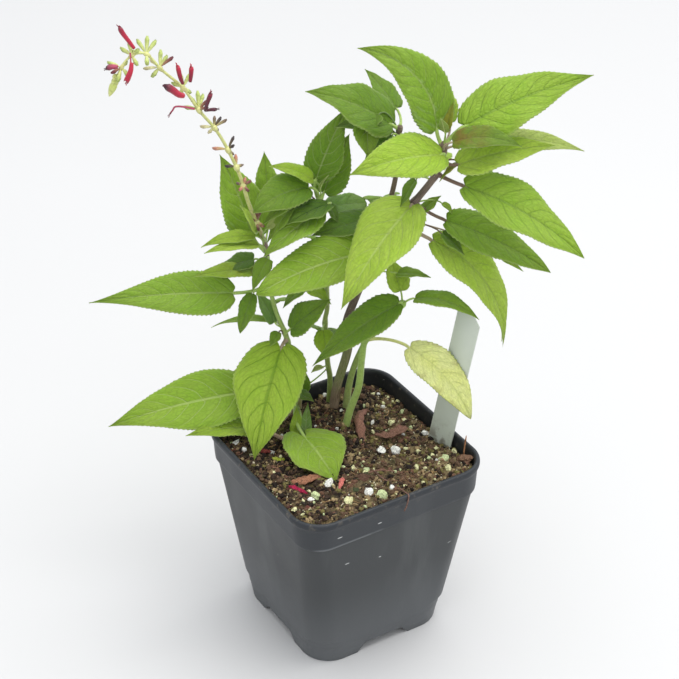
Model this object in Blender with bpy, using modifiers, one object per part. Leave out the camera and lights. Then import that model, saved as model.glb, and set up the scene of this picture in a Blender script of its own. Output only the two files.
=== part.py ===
"""Potted red-flowered sage in a four-inch square nursery pot, with a plain plant label.

Metres, +Z up, origin on the standing surface under the middle of the pot. The pot's sides face
-X, +X, -Y and +Y. Lengths in the tables below are millimetres and angles are degrees.
"""
import math

import bmesh
import bpy
import numpy as np
from mathutils import Matrix, Vector

MM = 0.001
GAP = 0.35                      # clearance between two pieces that touch in the real plant

# ---- pot
POT_HEIGHT = 96.0
FOOT_HALF_WIDTH = 36.3          # half the pot's width where it stands
LIP_HALF_WIDTH = 49.8           # half the width over the rolled lip
WALL = 1.2
BODY_FLARE = (LIP_HALF_WIDTH - 1.0 - FOOT_HALF_WIDTH) / POT_HEIGHT
BAND_BOTTOM = 80.0              # lower edge of the stiffening band under the rim
BAND_STEP = 1.0
BAND_STEP_RISE = 0.4
LIP_UNDERSIDE = 92.2            # the rolled lip: where it starts, is full, and turns in
LIP_FULL = 93.2
LIP_SHOULDER = 95.2
LIP_INNER_EDGE = 94.8
LIP_ROUNDING = 0.7
LIP_TOP_WIDTH = 1.0
LIP_UNDERSIDE_INSET = 0.6       # its corners are a little tighter below and inside
LIP_INNER_INSET = 2.2
FOOT_STEP_HEIGHT = 13.0         # below this the corners are drawn in so that pots stack
FOOT_STEP_RISE = 2.0
INNER_STEP_LIFT = 1.0           # the same step inside the wall is this much higher
FOOT_CORNER_RADIUS = 14.5
BODY_CORNER_RADIUS = 11.5
LIP_CORNER_RADIUS = 15.5
FLOOR_UNDERSIDE = 6.8
ARCH_HEIGHT = 4.8               # gap under the wall between two feet
ARCH_HALF_WIDTH = 10.0
ARCH_SLOPE = 4.0
ARCH_CUT_BELOW = 1.0            # how far its cutter starts below the floor and outside the wall
ARCH_CUT_MARGIN = 10.0
DRAIN_OFFSET = 22.0
DRAIN_RADIUS = 5.0
DRAIN_CUT_LENGTH = 6.0
ROUND_CUT_SIDES = 12
CORNER_STEPS = 6

# ---- soil
SOIL_LEVEL = 91.0               # height of the soil at the pot's axis
SOIL_FALL = 0.045               # the soil is high at the -X -Y corner and falls away from it
SOIL_SHRINK = 0.6               # its top has drawn back from the wall by this

# ---- label
LABEL_WIDTH = 12.8
LABEL_THICKNESS = 0.8
LABEL_FOOT = (42.7, -16.5)      # where it enters the soil
LABEL_LENGTH = 84.0
LABEL_BURIED = 9.0
LABEL_TURN = -71.0              # heading of its width
LABEL_LEAN = 8.0                # its head leans along its own width
LABEL_TILT = 4.0                # and outwards over the rim
LABEL_CLIP = 5.0
LABEL_SMALL_CLIP = 1.5

# ---- leaves
LEAF_THICKNESS = 0.8
STALK_HALF_WIDTH = 0.7
TIP_HALF_WIDTH = 0.25
STALK_ROWS = 4
BLADE_STATIONS = (0.0, 0.06, 0.18, 0.36, 0.56, 0.76, 0.92, 1.0)
BLADE_FOLD = 17.0               # each half of the blade rises from the midrib by this angle
BLADE_DROOP = 0.15              # and its margin falls back by this share of the half width
BLADE_TAPER = 1.25              # power of the narrowing towards the tip
BASE_LOBE = 0.10                # how far the base lobes reach back, as a share of the width
HEART_LOBE = 0.26               # the same on a blade nearly as wide as long
HEART_RATIO = 0.9
LOBE_FADE = 0.15
LOBE_FULL_WIDTH = 3.0
STALK_CHANNEL = 0.2             # depth of the channel along the stalk's upper side
STALK_BEND = 0.5
MIDRIB_STEPS = 60

# ---- stems, flower cups and flowers
JOINT_STEPS = 8                 # smooth points between two of a stem's, where others join it
FLOWER_STEPS = 2
RING_SIDES = 12
RING_SECTION_SIDES = 6
TIP_SHARE = 0.999               # the tip bud: its place on the spike, reach past it, radius, stretch
TIP_REACH = 5.6
TIP_RADIUS = 2.6
TIP_STRETCH = 1.4
STEM_SIDES_RESOLUTION = 2
STEM_STEPS = 4                  # smooth points between two points of a stem's route
STEM_HOLE_LENGTH = 24.0
STEM_HOLE_CLEARANCE = 1.5       # a stem leans a little inside its hole in the soil

# Stem routes from the soil up: radius at the foot, radius at the top, points (x, y, z).
STEMS = {
    "stem_main": (2.4, 1.4, ((14, 33, 83), (15, 31, 103), (18, 26, 127), (16, 24, 143), (18, 21, 156),
                             (22, 15, 176), (26, 9, 193), (31, 3, 206), (36, -3, 217), (41, -10, 232),
                             (42, -12, 246))),
    "stem_back": (1.5, 1.0, ((24.5, 18.6, 173), (29, 20, 184), (34, 19, 200), (37, 17, 218), (38, 17, 236),
                             (38, 16, 243))),
    "stem_centre": (2.0, 1.3, ((11, 18, 84), (13, 16, 99), (16, 13, 114), (17, 12, 130), (18, 10, 142),
                               (24, 4, 155), (31, -2, 164))),
    "stem_side": (1.9, 1.2, ((20, 31, 84), (20, 28, 104), (21, 24, 119), (23, 19, 133), (25, 14, 146))),
    "stem_left": (1.4, 1.0, ((15, 39, 83), (15, 37, 104), (13, 36, 116), (11, 35, 139), (11, 33, 151),
                             (9, 32, 181), (6, 31, 209))),
    "stem_spike": (1.9, 0.8, ((1, 43, 84), (-1, 42, 100), (-5, 40, 118), (-8, 38, 135), (-13, 39, 151),
                              (-16, 39, 166), (-17, 39, 182), (-19, 39, 192), (-25, 40, 210),
                              (-29, 41, 226), (-34, 43, 240), (-39, 44, 250), (-45, 46, 259),
                              (-51, 48, 270), (-59, 51, 279), (-64, 52, 286), (-68, 53, 288),
                              (-73, 54, 286), (-77, 55, 280), (-79, 56, 275))),
}

# Leaves: stem, height where the stalk leaves it, foot of the blade (x, y, z), heading from +X,
# pitch of the blade's middle, length, width, bow (how much the blade arches over), roll.
LEAVES = {
    "leaf_crown_face": ("stem_main", 211, (31, -4, 214), -167, -39, 55, 33, 25, 0),
    "leaf_crown_front": ("stem_main", 238, (38, -16, 243), 179, 3, 46, 23, 20, -30),
    "leaf_crown_arch": ("stem_main", 246, (40, -9, 252), 143, 46, 54, 22, 85, -50),
    "leaf_crown_upright": ("stem_main", 246, (48, -7, 252), 110, 62, 22, 13, 20, -20),
    "leaf_back_left": ("stem_back", 241, (34, 18, 244), 157, 26, 42, 25, 30, -25),
    "leaf_back_up": ("stem_back", 242, (43, 27, 246), 114, 40, 22, 15, 20, 0),
    "leaf_back_under": ("stem_back", 237, (23, 20, 247), -116, -56, 16, 12, 20, -10),
    "leaf_right_up": ("stem_main", 245, (51, -15, 253), -25, 21, 58, 28, 18, 30),
    "leaf_right_pale": ("stem_main", 241, (66, -16, 243), -26, -11, 41, 11, 25, 25),
    "leaf_right_red": ("stem_main", 242, (41, -20, 250), -44, 2, 30, 12, 50, 30),
    "leaf_right_level": ("stem_main", 236, (46, -18, 237), -32, 13, 42, 19, 20, 30),
    "leaf_right_broad": ("stem_main", 229, (48, -21, 227), -45, -28, 61, 26, 30, 22),
    "leaf_right_shade": ("stem_main", 214, (46, -11, 206), -41, -25, 52, 20, 20, 30),
    "leaf_right_hang": ("stem_main", 203, (42, -7, 195), -44, -57, 66, 23, 75, 20),
    "leaf_over_label": ("stem_centre", 163, (33, -7, 168), -52, -9, 32, 12, 60, 10),
    "leaf_mid_dark": ("stem_centre", 160, (27, -3, 165), 163, -34, 49, 18, 20, -20),
    "leaf_mid_olive": ("stem_centre", 162, (31, 2, 168), 82, 41, 17, 11, 10, 0),
    "leaf_yellow": ("stem_centre", 142, (31, -7, 142), -66, -38, 44, 19, 50, 22),
    "leaf_small_hang": ("stem_left", 139, (7, 30, 139), -110, -49, 12, 10, 20, 0),
    "leaf_left_upright": ("stem_left", 206, (6, 34, 218), -5, 64, 35, 18, 10, 35),
    "leaf_left_rear": ("stem_left", 207, (10, 34, 210), 15, 54, 28, 18, 10, 25),
    "leaf_left_far": ("stem_spike", 188, (-8, 53, 203), 70, 62, 21, 11, 10, 0),
    "leaf_left_long": ("stem_left", 208, (0, 31, 216), 179, -10, 29, 17, 45, -30),
    "leaf_left_broad": ("stem_left", 201, (2, 25, 206), -178, -25, 33, 20, 20, 0),
    "leaf_left_blue": ("stem_left", 199, (12, 35, 201), -8, -7, 20, 13, 10, 25),
    "leaf_middle_dark": ("stem_main", 194, (24, 17, 200), 165, -9, 28, 17, 10, -20),
    "leaf_middle_bright": ("stem_main", 184, (19, 8, 189), 168, -12, 56, 24, 25, -35),
    "leaf_spike_upright": ("stem_spike", 184, (-21, 45, 191), 116, 65, 40, 23, 15, -30),
    "leaf_spike_small": ("stem_spike", 184, (-23, 37, 191), 174, 4, 26, 9, 30, -10),
    "leaf_spike_olive": ("stem_spike", 176, (-22, 42, 175), 168, 4, 29, 11, 20, -15),
    "leaf_long_stalk": ("stem_spike", 166, (-33, 44, 165), 161, 3, 65, 21, 12, -45),
    "leaf_spike_hang": ("stem_spike", 163, (-26, 37, 166), -158, -58, 19, 9, 20, 0),
    "leaf_spike_fold": ("stem_spike", 139, (-8, 34, 143), -42, 44, 26, 16, 10, 40),
    "leaf_low_broad": ("stem_spike", 133, (-13, 35, 133), -141, -47, 54, 34, 30, 0),
    "leaf_low_left": ("stem_spike", 104, (-26, 41, 110), 160, -9, 69, 29, 15, -32),
    "leaf_low_under": ("stem_spike", 94, (-28, 30, 97), 166, 4, 36, 14, 20, -12),
    "leaf_heart": ("stem_spike", 96, (-15, 9, 98), -94, -8, 31, 31, 20, 0),
}

# Leaves with blunter or sharper tips than the rest: power of the narrowing.
TIP_SHAPES = {
    "leaf_middle_bright": 0.8,
    "leaf_yellow": 0.85,
    "leaf_left_blue": 0.55,
    "leaf_left_long": 0.9,
    "leaf_right_broad": 1.0,
    "leaf_right_shade": 1.0,
    "leaf_small_hang": 0.8,
    "leaf_spike_hang": 0.85,
    "leaf_long_stalk": 1.5,
}

# Rings of flower cups up the spike: share of the way along the spike stem, ring radius, cup depth.
WHORLS = {
    "whorl_1": (0.585, 3.0, 1.6),
    "whorl_2": (0.638, 2.8, 1.5),
    "whorl_3": (0.690, 3.2, 1.7),
    "whorl_4": (0.745, 3.2, 1.7),
    "whorl_5": (0.805, 3.2, 1.6),
    "whorl_6": (0.875, 2.8, 1.5),
    "whorl_7": (0.930, 3.0, 1.6),
}

# Red flower tubes: radius at the cup, radius at the mouth, points (x, y, z) from cup to mouth.
FLOWERS = {
    "flower_top": (1.0, 1.7, ((-72, 53, 294), (-73, 54, 297), (-75, 55, 301))),
    "flower_tip": (1.0, 1.8, ((-74, 49, 284), (-75, 49, 281), (-77, 50, 277))),
    "flower_left": (1.1, 2.1, ((-55, 42, 269), (-57, 42, 271), (-60, 43, 274))),
    "flower_upper_pair": (0.7, 1.2, ((-53, 46, 275), (-53, 46, 277), (-53, 47, 280))),
    "flower_right_pair": (0.7, 1.2, ((-50, 44, 275), (-49, 44, 277), (-49, 44, 279))),
    "flower_dark": (0.7, 1.2, ((-44, 41, 262), (-43, 40, 265), (-42, 39, 268))),
}

MATERIALS = {
    "pot_plastic": ((0.075, 0.080, 0.085), 0.42),
    "soil_mix": ((0.055, 0.035, 0.022), 0.95),
    "label_plastic": ((0.42, 0.45, 0.38), 0.45),
    "stem_wood": ((0.12, 0.075, 0.04), 0.7),
    "stem_green": ((0.28, 0.42, 0.10), 0.55),
    "leaf_green": ((0.17, 0.36, 0.045), 0.5),
    "leaf_yellow": ((0.66, 0.68, 0.16), 0.5),
    "cup_green": ((0.36, 0.38, 0.12), 0.6),
    "petal_red": ((0.62, 0.02, 0.07), 0.45),
}


def start_clean():
    for item in list(bpy.data.objects):
        bpy.data.objects.remove(item, do_unlink=True)
    for name in ("potted_sage", "cutters"):
        if name not in bpy.data.collections:
            bpy.context.scene.collection.children.link(bpy.data.collections.new(name))


def material(name):
    made = bpy.data.materials.get(name)
    if made is None:
        colour, roughness = MATERIALS[name]
        made = bpy.data.materials.new(name)
        made.use_nodes = True
        surface = made.node_tree.nodes["Principled BSDF"]
        surface.inputs["Base Color"].default_value = (*colour, 1.0)
        surface.inputs["Roughness"].default_value = roughness
        surface.inputs["Metallic"].default_value = 0.0
        made.diffuse_color = (*colour, 1.0)
    return made


def add_part(name, data, material_name):
    part = bpy.data.objects.new(name, data)
    data.materials.append(material(material_name))
    bpy.data.collections["potted_sage"].objects.link(part)
    return part


def mesh_part(name, bm, material_name):
    data = bpy.data.meshes.new(name)
    bm.to_mesh(data)
    bm.free()
    return add_part(name, data, material_name)


def cut(part, cutter):
    for collection in list(cutter.users_collection):
        collection.objects.unlink(cutter)
    bpy.data.collections["cutters"].objects.link(cutter)
    cutter.hide_render = True
    cutter.display_type = "WIRE"
    change = part.modifiers.new("cut_" + cutter.name, "BOOLEAN")
    change.operation = "DIFFERENCE"
    change.solver = "EXACT"
    change.object = cutter


# ---- pot and soil

def body_half_width(height):
    return FOOT_HALF_WIDTH + BODY_FLARE * height


def rounded_square(half_width, radius, height):
    """Points of one level outline, anticlockwise from above."""
    points = []
    for quarter, (side_x, side_y) in enumerate(((1, 1), (-1, 1), (-1, -1), (1, -1))):
        for step in range(CORNER_STEPS + 1):
            angle = (quarter + step / CORNER_STEPS) * math.pi / 2
            points.append((side_x * (half_width - radius) + radius * math.cos(angle),
                           side_y * (half_width - radius) + radius * math.sin(angle),
                           height))
    return points


def loft(outlines):
    """Closed solid through level outlines, capped at the first and the last."""
    bm = bmesh.new()
    rings = [[bm.verts.new(Vector(point) * MM) for point in outline] for outline in outlines]
    count = len(rings[0])
    for lower, upper in zip(rings, rings[1:]):
        for i in range(count):
            bm.faces.new((lower[i], lower[(i + 1) % count], upper[(i + 1) % count], upper[i]))
    bm.faces.new(rings[0][::-1])
    bm.faces.new(rings[-1])
    bmesh.ops.recalc_face_normals(bm, faces=bm.faces)
    return bm


def make_pot():
    floor_top = FLOOR_UNDERSIDE + WALL
    step_top = FOOT_STEP_HEIGHT + FOOT_STEP_RISE
    inner_step = FOOT_STEP_HEIGHT + INNER_STEP_LIFT
    inner_top = step_top + INNER_STEP_LIFT
    corner, foot_corner, lip_corner = BODY_CORNER_RADIUS, FOOT_CORNER_RADIUS, LIP_CORNER_RADIUS
    outside = (
        (FLOOR_UNDERSIDE, body_half_width(FLOOR_UNDERSIDE) - WALL, foot_corner - WALL),
        (0.0, FOOT_HALF_WIDTH - WALL, foot_corner - WALL),
        (0.0, FOOT_HALF_WIDTH, foot_corner),
        (FOOT_STEP_HEIGHT, body_half_width(FOOT_STEP_HEIGHT), foot_corner),
        (step_top, body_half_width(step_top), corner),
        (BAND_BOTTOM, body_half_width(BAND_BOTTOM), corner),
        (BAND_BOTTOM + BAND_STEP_RISE, body_half_width(BAND_BOTTOM) + BAND_STEP, corner + BAND_STEP),
        (LIP_UNDERSIDE, body_half_width(LIP_UNDERSIDE) + LIP_ROUNDING, lip_corner - LIP_UNDERSIDE_INSET),
        (LIP_FULL, LIP_HALF_WIDTH, lip_corner),
        (LIP_SHOULDER, LIP_HALF_WIDTH, lip_corner),
        (POT_HEIGHT, LIP_HALF_WIDTH - LIP_ROUNDING, lip_corner - LIP_ROUNDING),
    )
    lip_inset = LIP_ROUNDING + LIP_TOP_WIDTH
    inside = (
        (POT_HEIGHT, LIP_HALF_WIDTH - lip_inset, lip_corner - lip_inset),
        (LIP_INNER_EDGE, body_half_width(LIP_INNER_EDGE) - WALL, lip_corner - LIP_INNER_INSET),
        (BAND_BOTTOM, body_half_width(BAND_BOTTOM) - WALL, corner - WALL),
        (inner_top, body_half_width(inner_top) - WALL, corner - WALL),
        (inner_step, body_half_width(inner_step) - WALL, foot_corner - WALL),
        (floor_top, body_half_width(floor_top) - WALL, foot_corner - WALL),
    )
    outlines = [rounded_square(half_width, radius, height) for height, half_width, radius in outside + inside]
    pot = mesh_part("pot", loft(outlines), "pot_plastic")
    for name, turn in (("arch_x", 0.0), ("arch_y", 90.0)):
        cut(pot, make_arch_cutter(name, turn))
    for side_x in (-1, 1):
        for side_y in (-1, 1):
            bpy.ops.mesh.primitive_cylinder_add(
                vertices=ROUND_CUT_SIDES, radius=DRAIN_RADIUS * MM, depth=DRAIN_CUT_LENGTH * MM,
                location=(side_x * DRAIN_OFFSET * MM, side_y * DRAIN_OFFSET * MM, FLOOR_UNDERSIDE * MM))
            drain = bpy.context.object
            drain.name = "drain_" + ("left" if side_x < 0 else "right") + ("_near" if side_y < 0 else "_far")
            cut(pot, drain)
    return pot


def make_arch_cutter(name, turn):
    """A long bar with sloping ends to its section, which opens two facing walls between the feet."""
    reach = FOOT_HALF_WIDTH + ARCH_CUT_MARGIN
    foot = ARCH_HALF_WIDTH + ARCH_SLOPE
    section = ((-foot, -ARCH_CUT_BELOW), (foot, -ARCH_CUT_BELOW),
               (ARCH_HALF_WIDTH, ARCH_HEIGHT), (-ARCH_HALF_WIDTH, ARCH_HEIGHT))
    bm = bmesh.new()
    face = bm.faces.new([bm.verts.new(Vector((-reach, y, z)) * MM) for y, z in section])
    grown = bmesh.ops.extrude_face_region(bm, geom=[face])["geom"]
    moved = [item for item in grown if isinstance(item, bmesh.types.BMVert)]
    bmesh.ops.translate(bm, vec=(2 * reach * MM, 0, 0), verts=moved)
    bmesh.ops.recalc_face_normals(bm, faces=bm.faces)
    data = bpy.data.meshes.new(name)
    bm.to_mesh(data)
    bm.free()
    cutter = bpy.data.objects.new(name, data)
    cutter.rotation_euler = (0, 0, math.radians(turn))
    bpy.data.collections["cutters"].objects.link(cutter)
    return cutter


def soil_height(x, y):
    return SOIL_LEVEL - SOIL_FALL * (x + y)


def make_soil():
    inset = WALL + GAP
    bottom = FLOOR_UNDERSIDE + WALL + GAP
    step_top = FOOT_STEP_HEIGHT + FOOT_STEP_RISE
    narrow = body_half_width(FOOT_STEP_HEIGHT - INNER_STEP_LIFT) - inset
    wide = body_half_width(step_top) - inset
    top = body_half_width(SOIL_LEVEL) - inset - SOIL_SHRINK
    outlines = [
        rounded_square(body_half_width(bottom) - inset, FOOT_CORNER_RADIUS - inset, bottom),
        rounded_square(narrow, FOOT_CORNER_RADIUS - inset, FOOT_STEP_HEIGHT + INNER_STEP_LIFT),
        rounded_square(wide, BODY_CORNER_RADIUS - inset, step_top + 2 * INNER_STEP_LIFT),
        rounded_square(top, LIP_CORNER_RADIUS - inset, SOIL_LEVEL),
    ]
    outlines[-1] = [(x, y, soil_height(x, y)) for x, y, _ in outlines[-1]]
    soil = mesh_part("soil", loft(outlines), "soil_mix")
    for name in ("stem_main", "stem_centre", "stem_side", "stem_left", "stem_spike"):
        radius, _, route = STEMS[name]
        foot = Vector(route[0])
        bpy.ops.mesh.primitive_cylinder_add(
            vertices=ROUND_CUT_SIDES, radius=(radius + STEM_HOLE_CLEARANCE) * MM,
            depth=STEM_HOLE_LENGTH * MM,
            location=(foot.x * MM, foot.y * MM, (foot.z - GAP + STEM_HOLE_LENGTH / 2) * MM))
        bpy.context.object.name = "hole_" + name
        cut(soil, bpy.context.object)
    slot = make_label_plate("slot_label", LABEL_THICKNESS + 2 * GAP, LABEL_WIDTH + 2 * GAP, GAP)
    cut(soil, slot)
    return soil


# ---- label

def make_label_plate(name, thickness, width, extra_depth):
    """A flat stake, clipped at one top corner, with its foot in the soil."""
    below = -LABEL_BURIED - extra_depth
    above = LABEL_LENGTH - LABEL_BURIED
    half = width / 2
    outline = ((-half, below), (half, below), (half, above - LABEL_CLIP), (half - LABEL_CLIP, above),
               (-half + LABEL_SMALL_CLIP, above), (-half, above - LABEL_SMALL_CLIP))
    bm = bmesh.new()
    face = bm.faces.new([bm.verts.new(Vector((x, -thickness / 2, z)) * MM) for x, z in outline])
    grown = bmesh.ops.extrude_face_region(bm, geom=[face])["geom"]
    moved = [item for item in grown if isinstance(item, bmesh.types.BMVert)]
    bmesh.ops.translate(bm, vec=(0, thickness * MM, 0), verts=moved)
    bmesh.ops.recalc_face_normals(bm, faces=bm.faces)
    data = bpy.data.meshes.new(name)
    bm.to_mesh(data)
    bm.free()
    plate = bpy.data.objects.new(name, data)
    plate.rotation_euler = [math.radians(angle) for angle in (-LABEL_TILT, LABEL_LEAN, LABEL_TURN)]
    plate.location = Vector((*LABEL_FOOT, soil_height(*LABEL_FOOT))) * MM
    bpy.data.collections["potted_sage"].objects.link(plate)
    return plate


def make_label():
    label = make_label_plate("label", LABEL_THICKNESS, LABEL_WIDTH, 0.0)
    label.data.materials.append(material("label_plastic"))
    return label


# ---- stems

def smooth_route(points, steps):
    """Catmull-Rom points through a route, with its ends."""
    route = np.array(points, float)
    route = np.vstack([2 * route[0] - route[1], route, 2 * route[-1] - route[-2]])
    out = []
    for i in range(1, len(route) - 2):
        a, b, c, d = route[i - 1:i + 3]
        for t in np.arange(steps) / steps:
            out.append(0.5 * (2 * b + (c - a) * t + (2 * a - 5 * b + 4 * c - d) * t * t
                              + (3 * b - a - 3 * c + d) * t ** 3))
    out.append(route[-2])
    return np.array(out)


def make_tube(name, points, radii, material_name):
    data = bpy.data.curves.new(name, "CURVE")
    data.dimensions = "3D"
    data.bevel_depth = MM
    data.bevel_resolution = STEM_SIDES_RESOLUTION
    data.use_fill_caps = True
    spline = data.splines.new("POLY")
    spline.points.add(len(points) - 1)
    for point, place, radius in zip(spline.points, points, radii):
        point.co = (*(Vector(place) * MM), 1.0)
        point.radius = radius
    return add_part(name, data, material_name)


def make_stem(name):
    foot_radius, top_radius, route = STEMS[name]
    points = smooth_route(route, STEM_STEPS)
    radii = np.linspace(foot_radius, top_radius, len(points))
    green = name in ("stem_centre", "stem_side", "stem_left")
    return make_tube(name, points, radii, "stem_green" if green else "stem_wood")


def stem_station(name, index, points):
    """Point, direction and radius of a stem at one of its route's smoothed points."""
    foot_radius, top_radius, _ = STEMS[name]
    index = min(index, len(points) - 2)
    direction = points[index + 1] - points[index]
    radius = foot_radius + (top_radius - foot_radius) * index / (len(points) - 1)
    return points[index], direction / np.linalg.norm(direction), radius


def stem_at_height(name, height):
    points = smooth_route(STEMS[name][2], JOINT_STEPS)
    above = np.nonzero(points[:, 2] >= height)[0]
    return stem_station(name, int(above[0]) if len(above) else len(points) - 1, points)


def stem_at_share(name, share):
    points = smooth_route(STEMS[name][2], JOINT_STEPS)
    return stem_station(name, int(share * (len(points) - 1)), points)


# ---- leaves

def blade_outline(station, taper):
    """Egg-shaped blade: broad near its foot, narrowing to its tip."""
    return math.sqrt(station) * (1.0 - station) ** taper


def blade_half_width(station, width, taper):
    widest = 0.5 / (0.5 + taper)
    shape = blade_outline(station, taper) / blade_outline(widest, taper)
    least = STALK_HALF_WIDTH if station < 0.5 else TIP_HALF_WIDTH
    return max(shape * width / 2, least)


class LeafShape:
    """Places any point of a leaf: along its stalk, then along and across its blade."""

    def __init__(self, taper, stem, height, base, heading, pitch, length, width, bow, roll):
        self.base = np.array(base, float)
        self.width = width
        self.taper = taper
        self.lobe = HEART_LOBE if width > HEART_RATIO * length else BASE_LOBE
        share = np.linspace(0.0, 1.0, MIDRIB_STEPS + 1)
        slope = np.radians(pitch + bow * (0.5 - share))
        turn = math.radians(heading)
        self.tangents = np.stack([np.cos(slope) * math.cos(turn), np.cos(slope) * math.sin(turn),
                                  np.sin(slope)], 1)
        run = np.cumsum((self.tangents[1:] + self.tangents[:-1]) / 2, 0)
        self.midrib = np.vstack([[0, 0, 0], run]) * length / MIDRIB_STEPS + self.base
        self.level_side = np.array([-math.sin(turn), math.cos(turn), 0.0])
        self.roll = math.radians(roll)
        joint, along_stem, radius = stem_at_height(stem, height)
        outward = self.base - joint
        outward = outward - along_stem * np.dot(outward, along_stem)
        self.joint = joint + outward / np.linalg.norm(outward) * (radius + GAP + STALK_HALF_WIDTH)
        reach = np.linalg.norm(self.base - self.joint)
        self.stalk_bend = self.base - self.tangents[0] * reach * STALK_BEND

    def frame(self, station):
        index = min(int(station * MIDRIB_STEPS), MIDRIB_STEPS - 1)
        blend = station * MIDRIB_STEPS - index
        along = self.tangents[index] * (1 - blend) + self.tangents[index + 1] * blend
        along = along / np.linalg.norm(along)
        place = self.midrib[index] * (1 - blend) + self.midrib[index + 1] * blend
        up = np.cross(along, self.level_side)
        side = math.cos(self.roll) * self.level_side + math.sin(self.roll) * up
        normal = -math.sin(self.roll) * self.level_side + math.cos(self.roll) * up
        return place, along, side, normal

    def blade_point(self, station, across):
        place, along, side, normal = self.frame(station)
        half = blade_half_width(station, self.width, self.taper)
        fold = math.radians(BLADE_FOLD)
        rise = half * (abs(across) * math.sin(fold) - BLADE_DROOP * across * across)
        back = self.lobe * self.width * abs(across) * math.exp(-(station / LOBE_FADE) ** 2)
        back = back * min(1, half / LOBE_FULL_WIDTH)
        return place + side * across * half * math.cos(fold) + normal * rise - along * back

    def stalk_point(self, share, across):
        _, _, side, normal = self.frame(0.0)
        place = ((1 - share) ** 2 * self.joint + 2 * share * (1 - share) * self.stalk_bend
                 + share ** 2 * self.base)
        return place + side * across * STALK_HALF_WIDTH + normal * abs(across) * STALK_CHANNEL


def make_leaf(name):
    leaf = LeafShape(TIP_SHAPES.get(name, BLADE_TAPER), *LEAVES[name])
    rows = STALK_ROWS + len(BLADE_STATIONS) - 1
    bm = bmesh.new()
    bmesh.ops.create_grid(bm, x_segments=2, y_segments=rows, size=1.0)
    for vert in bm.verts:
        row = round((vert.co.y + 1) / 2 * rows)
        across = round(vert.co.x)
        if row < STALK_ROWS:
            place = leaf.stalk_point(row / STALK_ROWS, across)
        else:
            place = leaf.blade_point(BLADE_STATIONS[row - STALK_ROWS], across)
        vert.co = Vector(place) * MM
    made = mesh_part(name, bm, "leaf_yellow" if name == "leaf_yellow" else "leaf_green")
    thick = made.modifiers.new("thickness", "SOLIDIFY")
    thick.thickness = LEAF_THICKNESS * MM
    thick.offset = 0.0
    return made


# ---- flower spike

def make_whorl(name):
    share, ring, depth = WHORLS[name]
    place, direction, _ = stem_at_share("stem_spike", share)
    turn = Vector((0, 0, 1)).rotation_difference(Vector(direction))
    bpy.ops.mesh.primitive_torus_add(major_segments=RING_SIDES, minor_segments=RING_SECTION_SIDES,
                                     major_radius=ring * MM, minor_radius=depth * MM)
    whorl = bpy.context.object
    whorl.name = name
    whorl.matrix_world = Matrix.Translation(Vector(place) * MM) @ turn.to_matrix().to_4x4()
    whorl.data.materials.append(material("cup_green"))
    for collection in list(whorl.users_collection):
        collection.objects.unlink(whorl)
    bpy.data.collections["potted_sage"].objects.link(whorl)
    return whorl


def make_flower(name):
    cup_radius, mouth_radius, route = FLOWERS[name]
    points = smooth_route(route, FLOWER_STEPS)
    return make_tube(name, points, np.linspace(cup_radius, mouth_radius, len(points)), "petal_red")


def make_tip_buds():
    place, direction, _ = stem_at_share("stem_spike", TIP_SHARE)
    bpy.ops.mesh.primitive_ico_sphere_add(subdivisions=2, radius=TIP_RADIUS * MM)
    buds = bpy.context.object
    buds.name = "tip_buds"
    centre = Vector(place) + Vector(direction) * TIP_REACH
    turn = Vector((0, 0, 1)).rotation_difference(Vector(direction))
    buds.matrix_world = (Matrix.Translation(centre * MM) @ turn.to_matrix().to_4x4()
                         @ Matrix.Diagonal((1.0, 1.0, TIP_STRETCH, 1.0)))
    buds.data.materials.append(material("cup_green"))
    for collection in list(buds.users_collection):
        collection.objects.unlink(buds)
    bpy.data.collections["potted_sage"].objects.link(buds)
    return buds


def main():
    start_clean()
    make_pot()
    make_soil()
    make_label()
    for name in STEMS:
        make_stem(name)
    for name in LEAVES:
        make_leaf(name)
    for name in WHORLS:
        make_whorl(name)
    for name in FLOWERS:
        make_flower(name)
    make_tip_buds()


main()
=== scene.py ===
"""Potted red-flowered sage in a square nursery pot, with a plain plant label.

Metres and +Z up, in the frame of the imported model, whose pot stands on the floor around the origin.
Lengths in the tables are millimetres and angles are degrees; MM turns them into metres.
"""
import math
import random

import bmesh
import bpy
import numpy as np
from mathutils import Matrix, Vector, noise


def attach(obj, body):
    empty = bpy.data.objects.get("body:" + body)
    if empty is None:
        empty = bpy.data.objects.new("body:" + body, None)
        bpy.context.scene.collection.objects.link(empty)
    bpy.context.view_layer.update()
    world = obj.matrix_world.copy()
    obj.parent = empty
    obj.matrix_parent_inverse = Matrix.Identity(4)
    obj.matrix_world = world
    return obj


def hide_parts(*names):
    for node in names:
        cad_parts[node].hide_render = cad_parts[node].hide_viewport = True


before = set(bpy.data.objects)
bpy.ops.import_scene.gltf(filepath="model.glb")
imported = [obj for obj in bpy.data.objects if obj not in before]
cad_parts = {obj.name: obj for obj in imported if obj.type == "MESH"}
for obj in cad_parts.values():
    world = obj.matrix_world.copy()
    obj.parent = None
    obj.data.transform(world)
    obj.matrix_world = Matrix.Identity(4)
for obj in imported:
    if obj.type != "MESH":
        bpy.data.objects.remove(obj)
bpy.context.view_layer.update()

MM = 0.001

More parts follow.
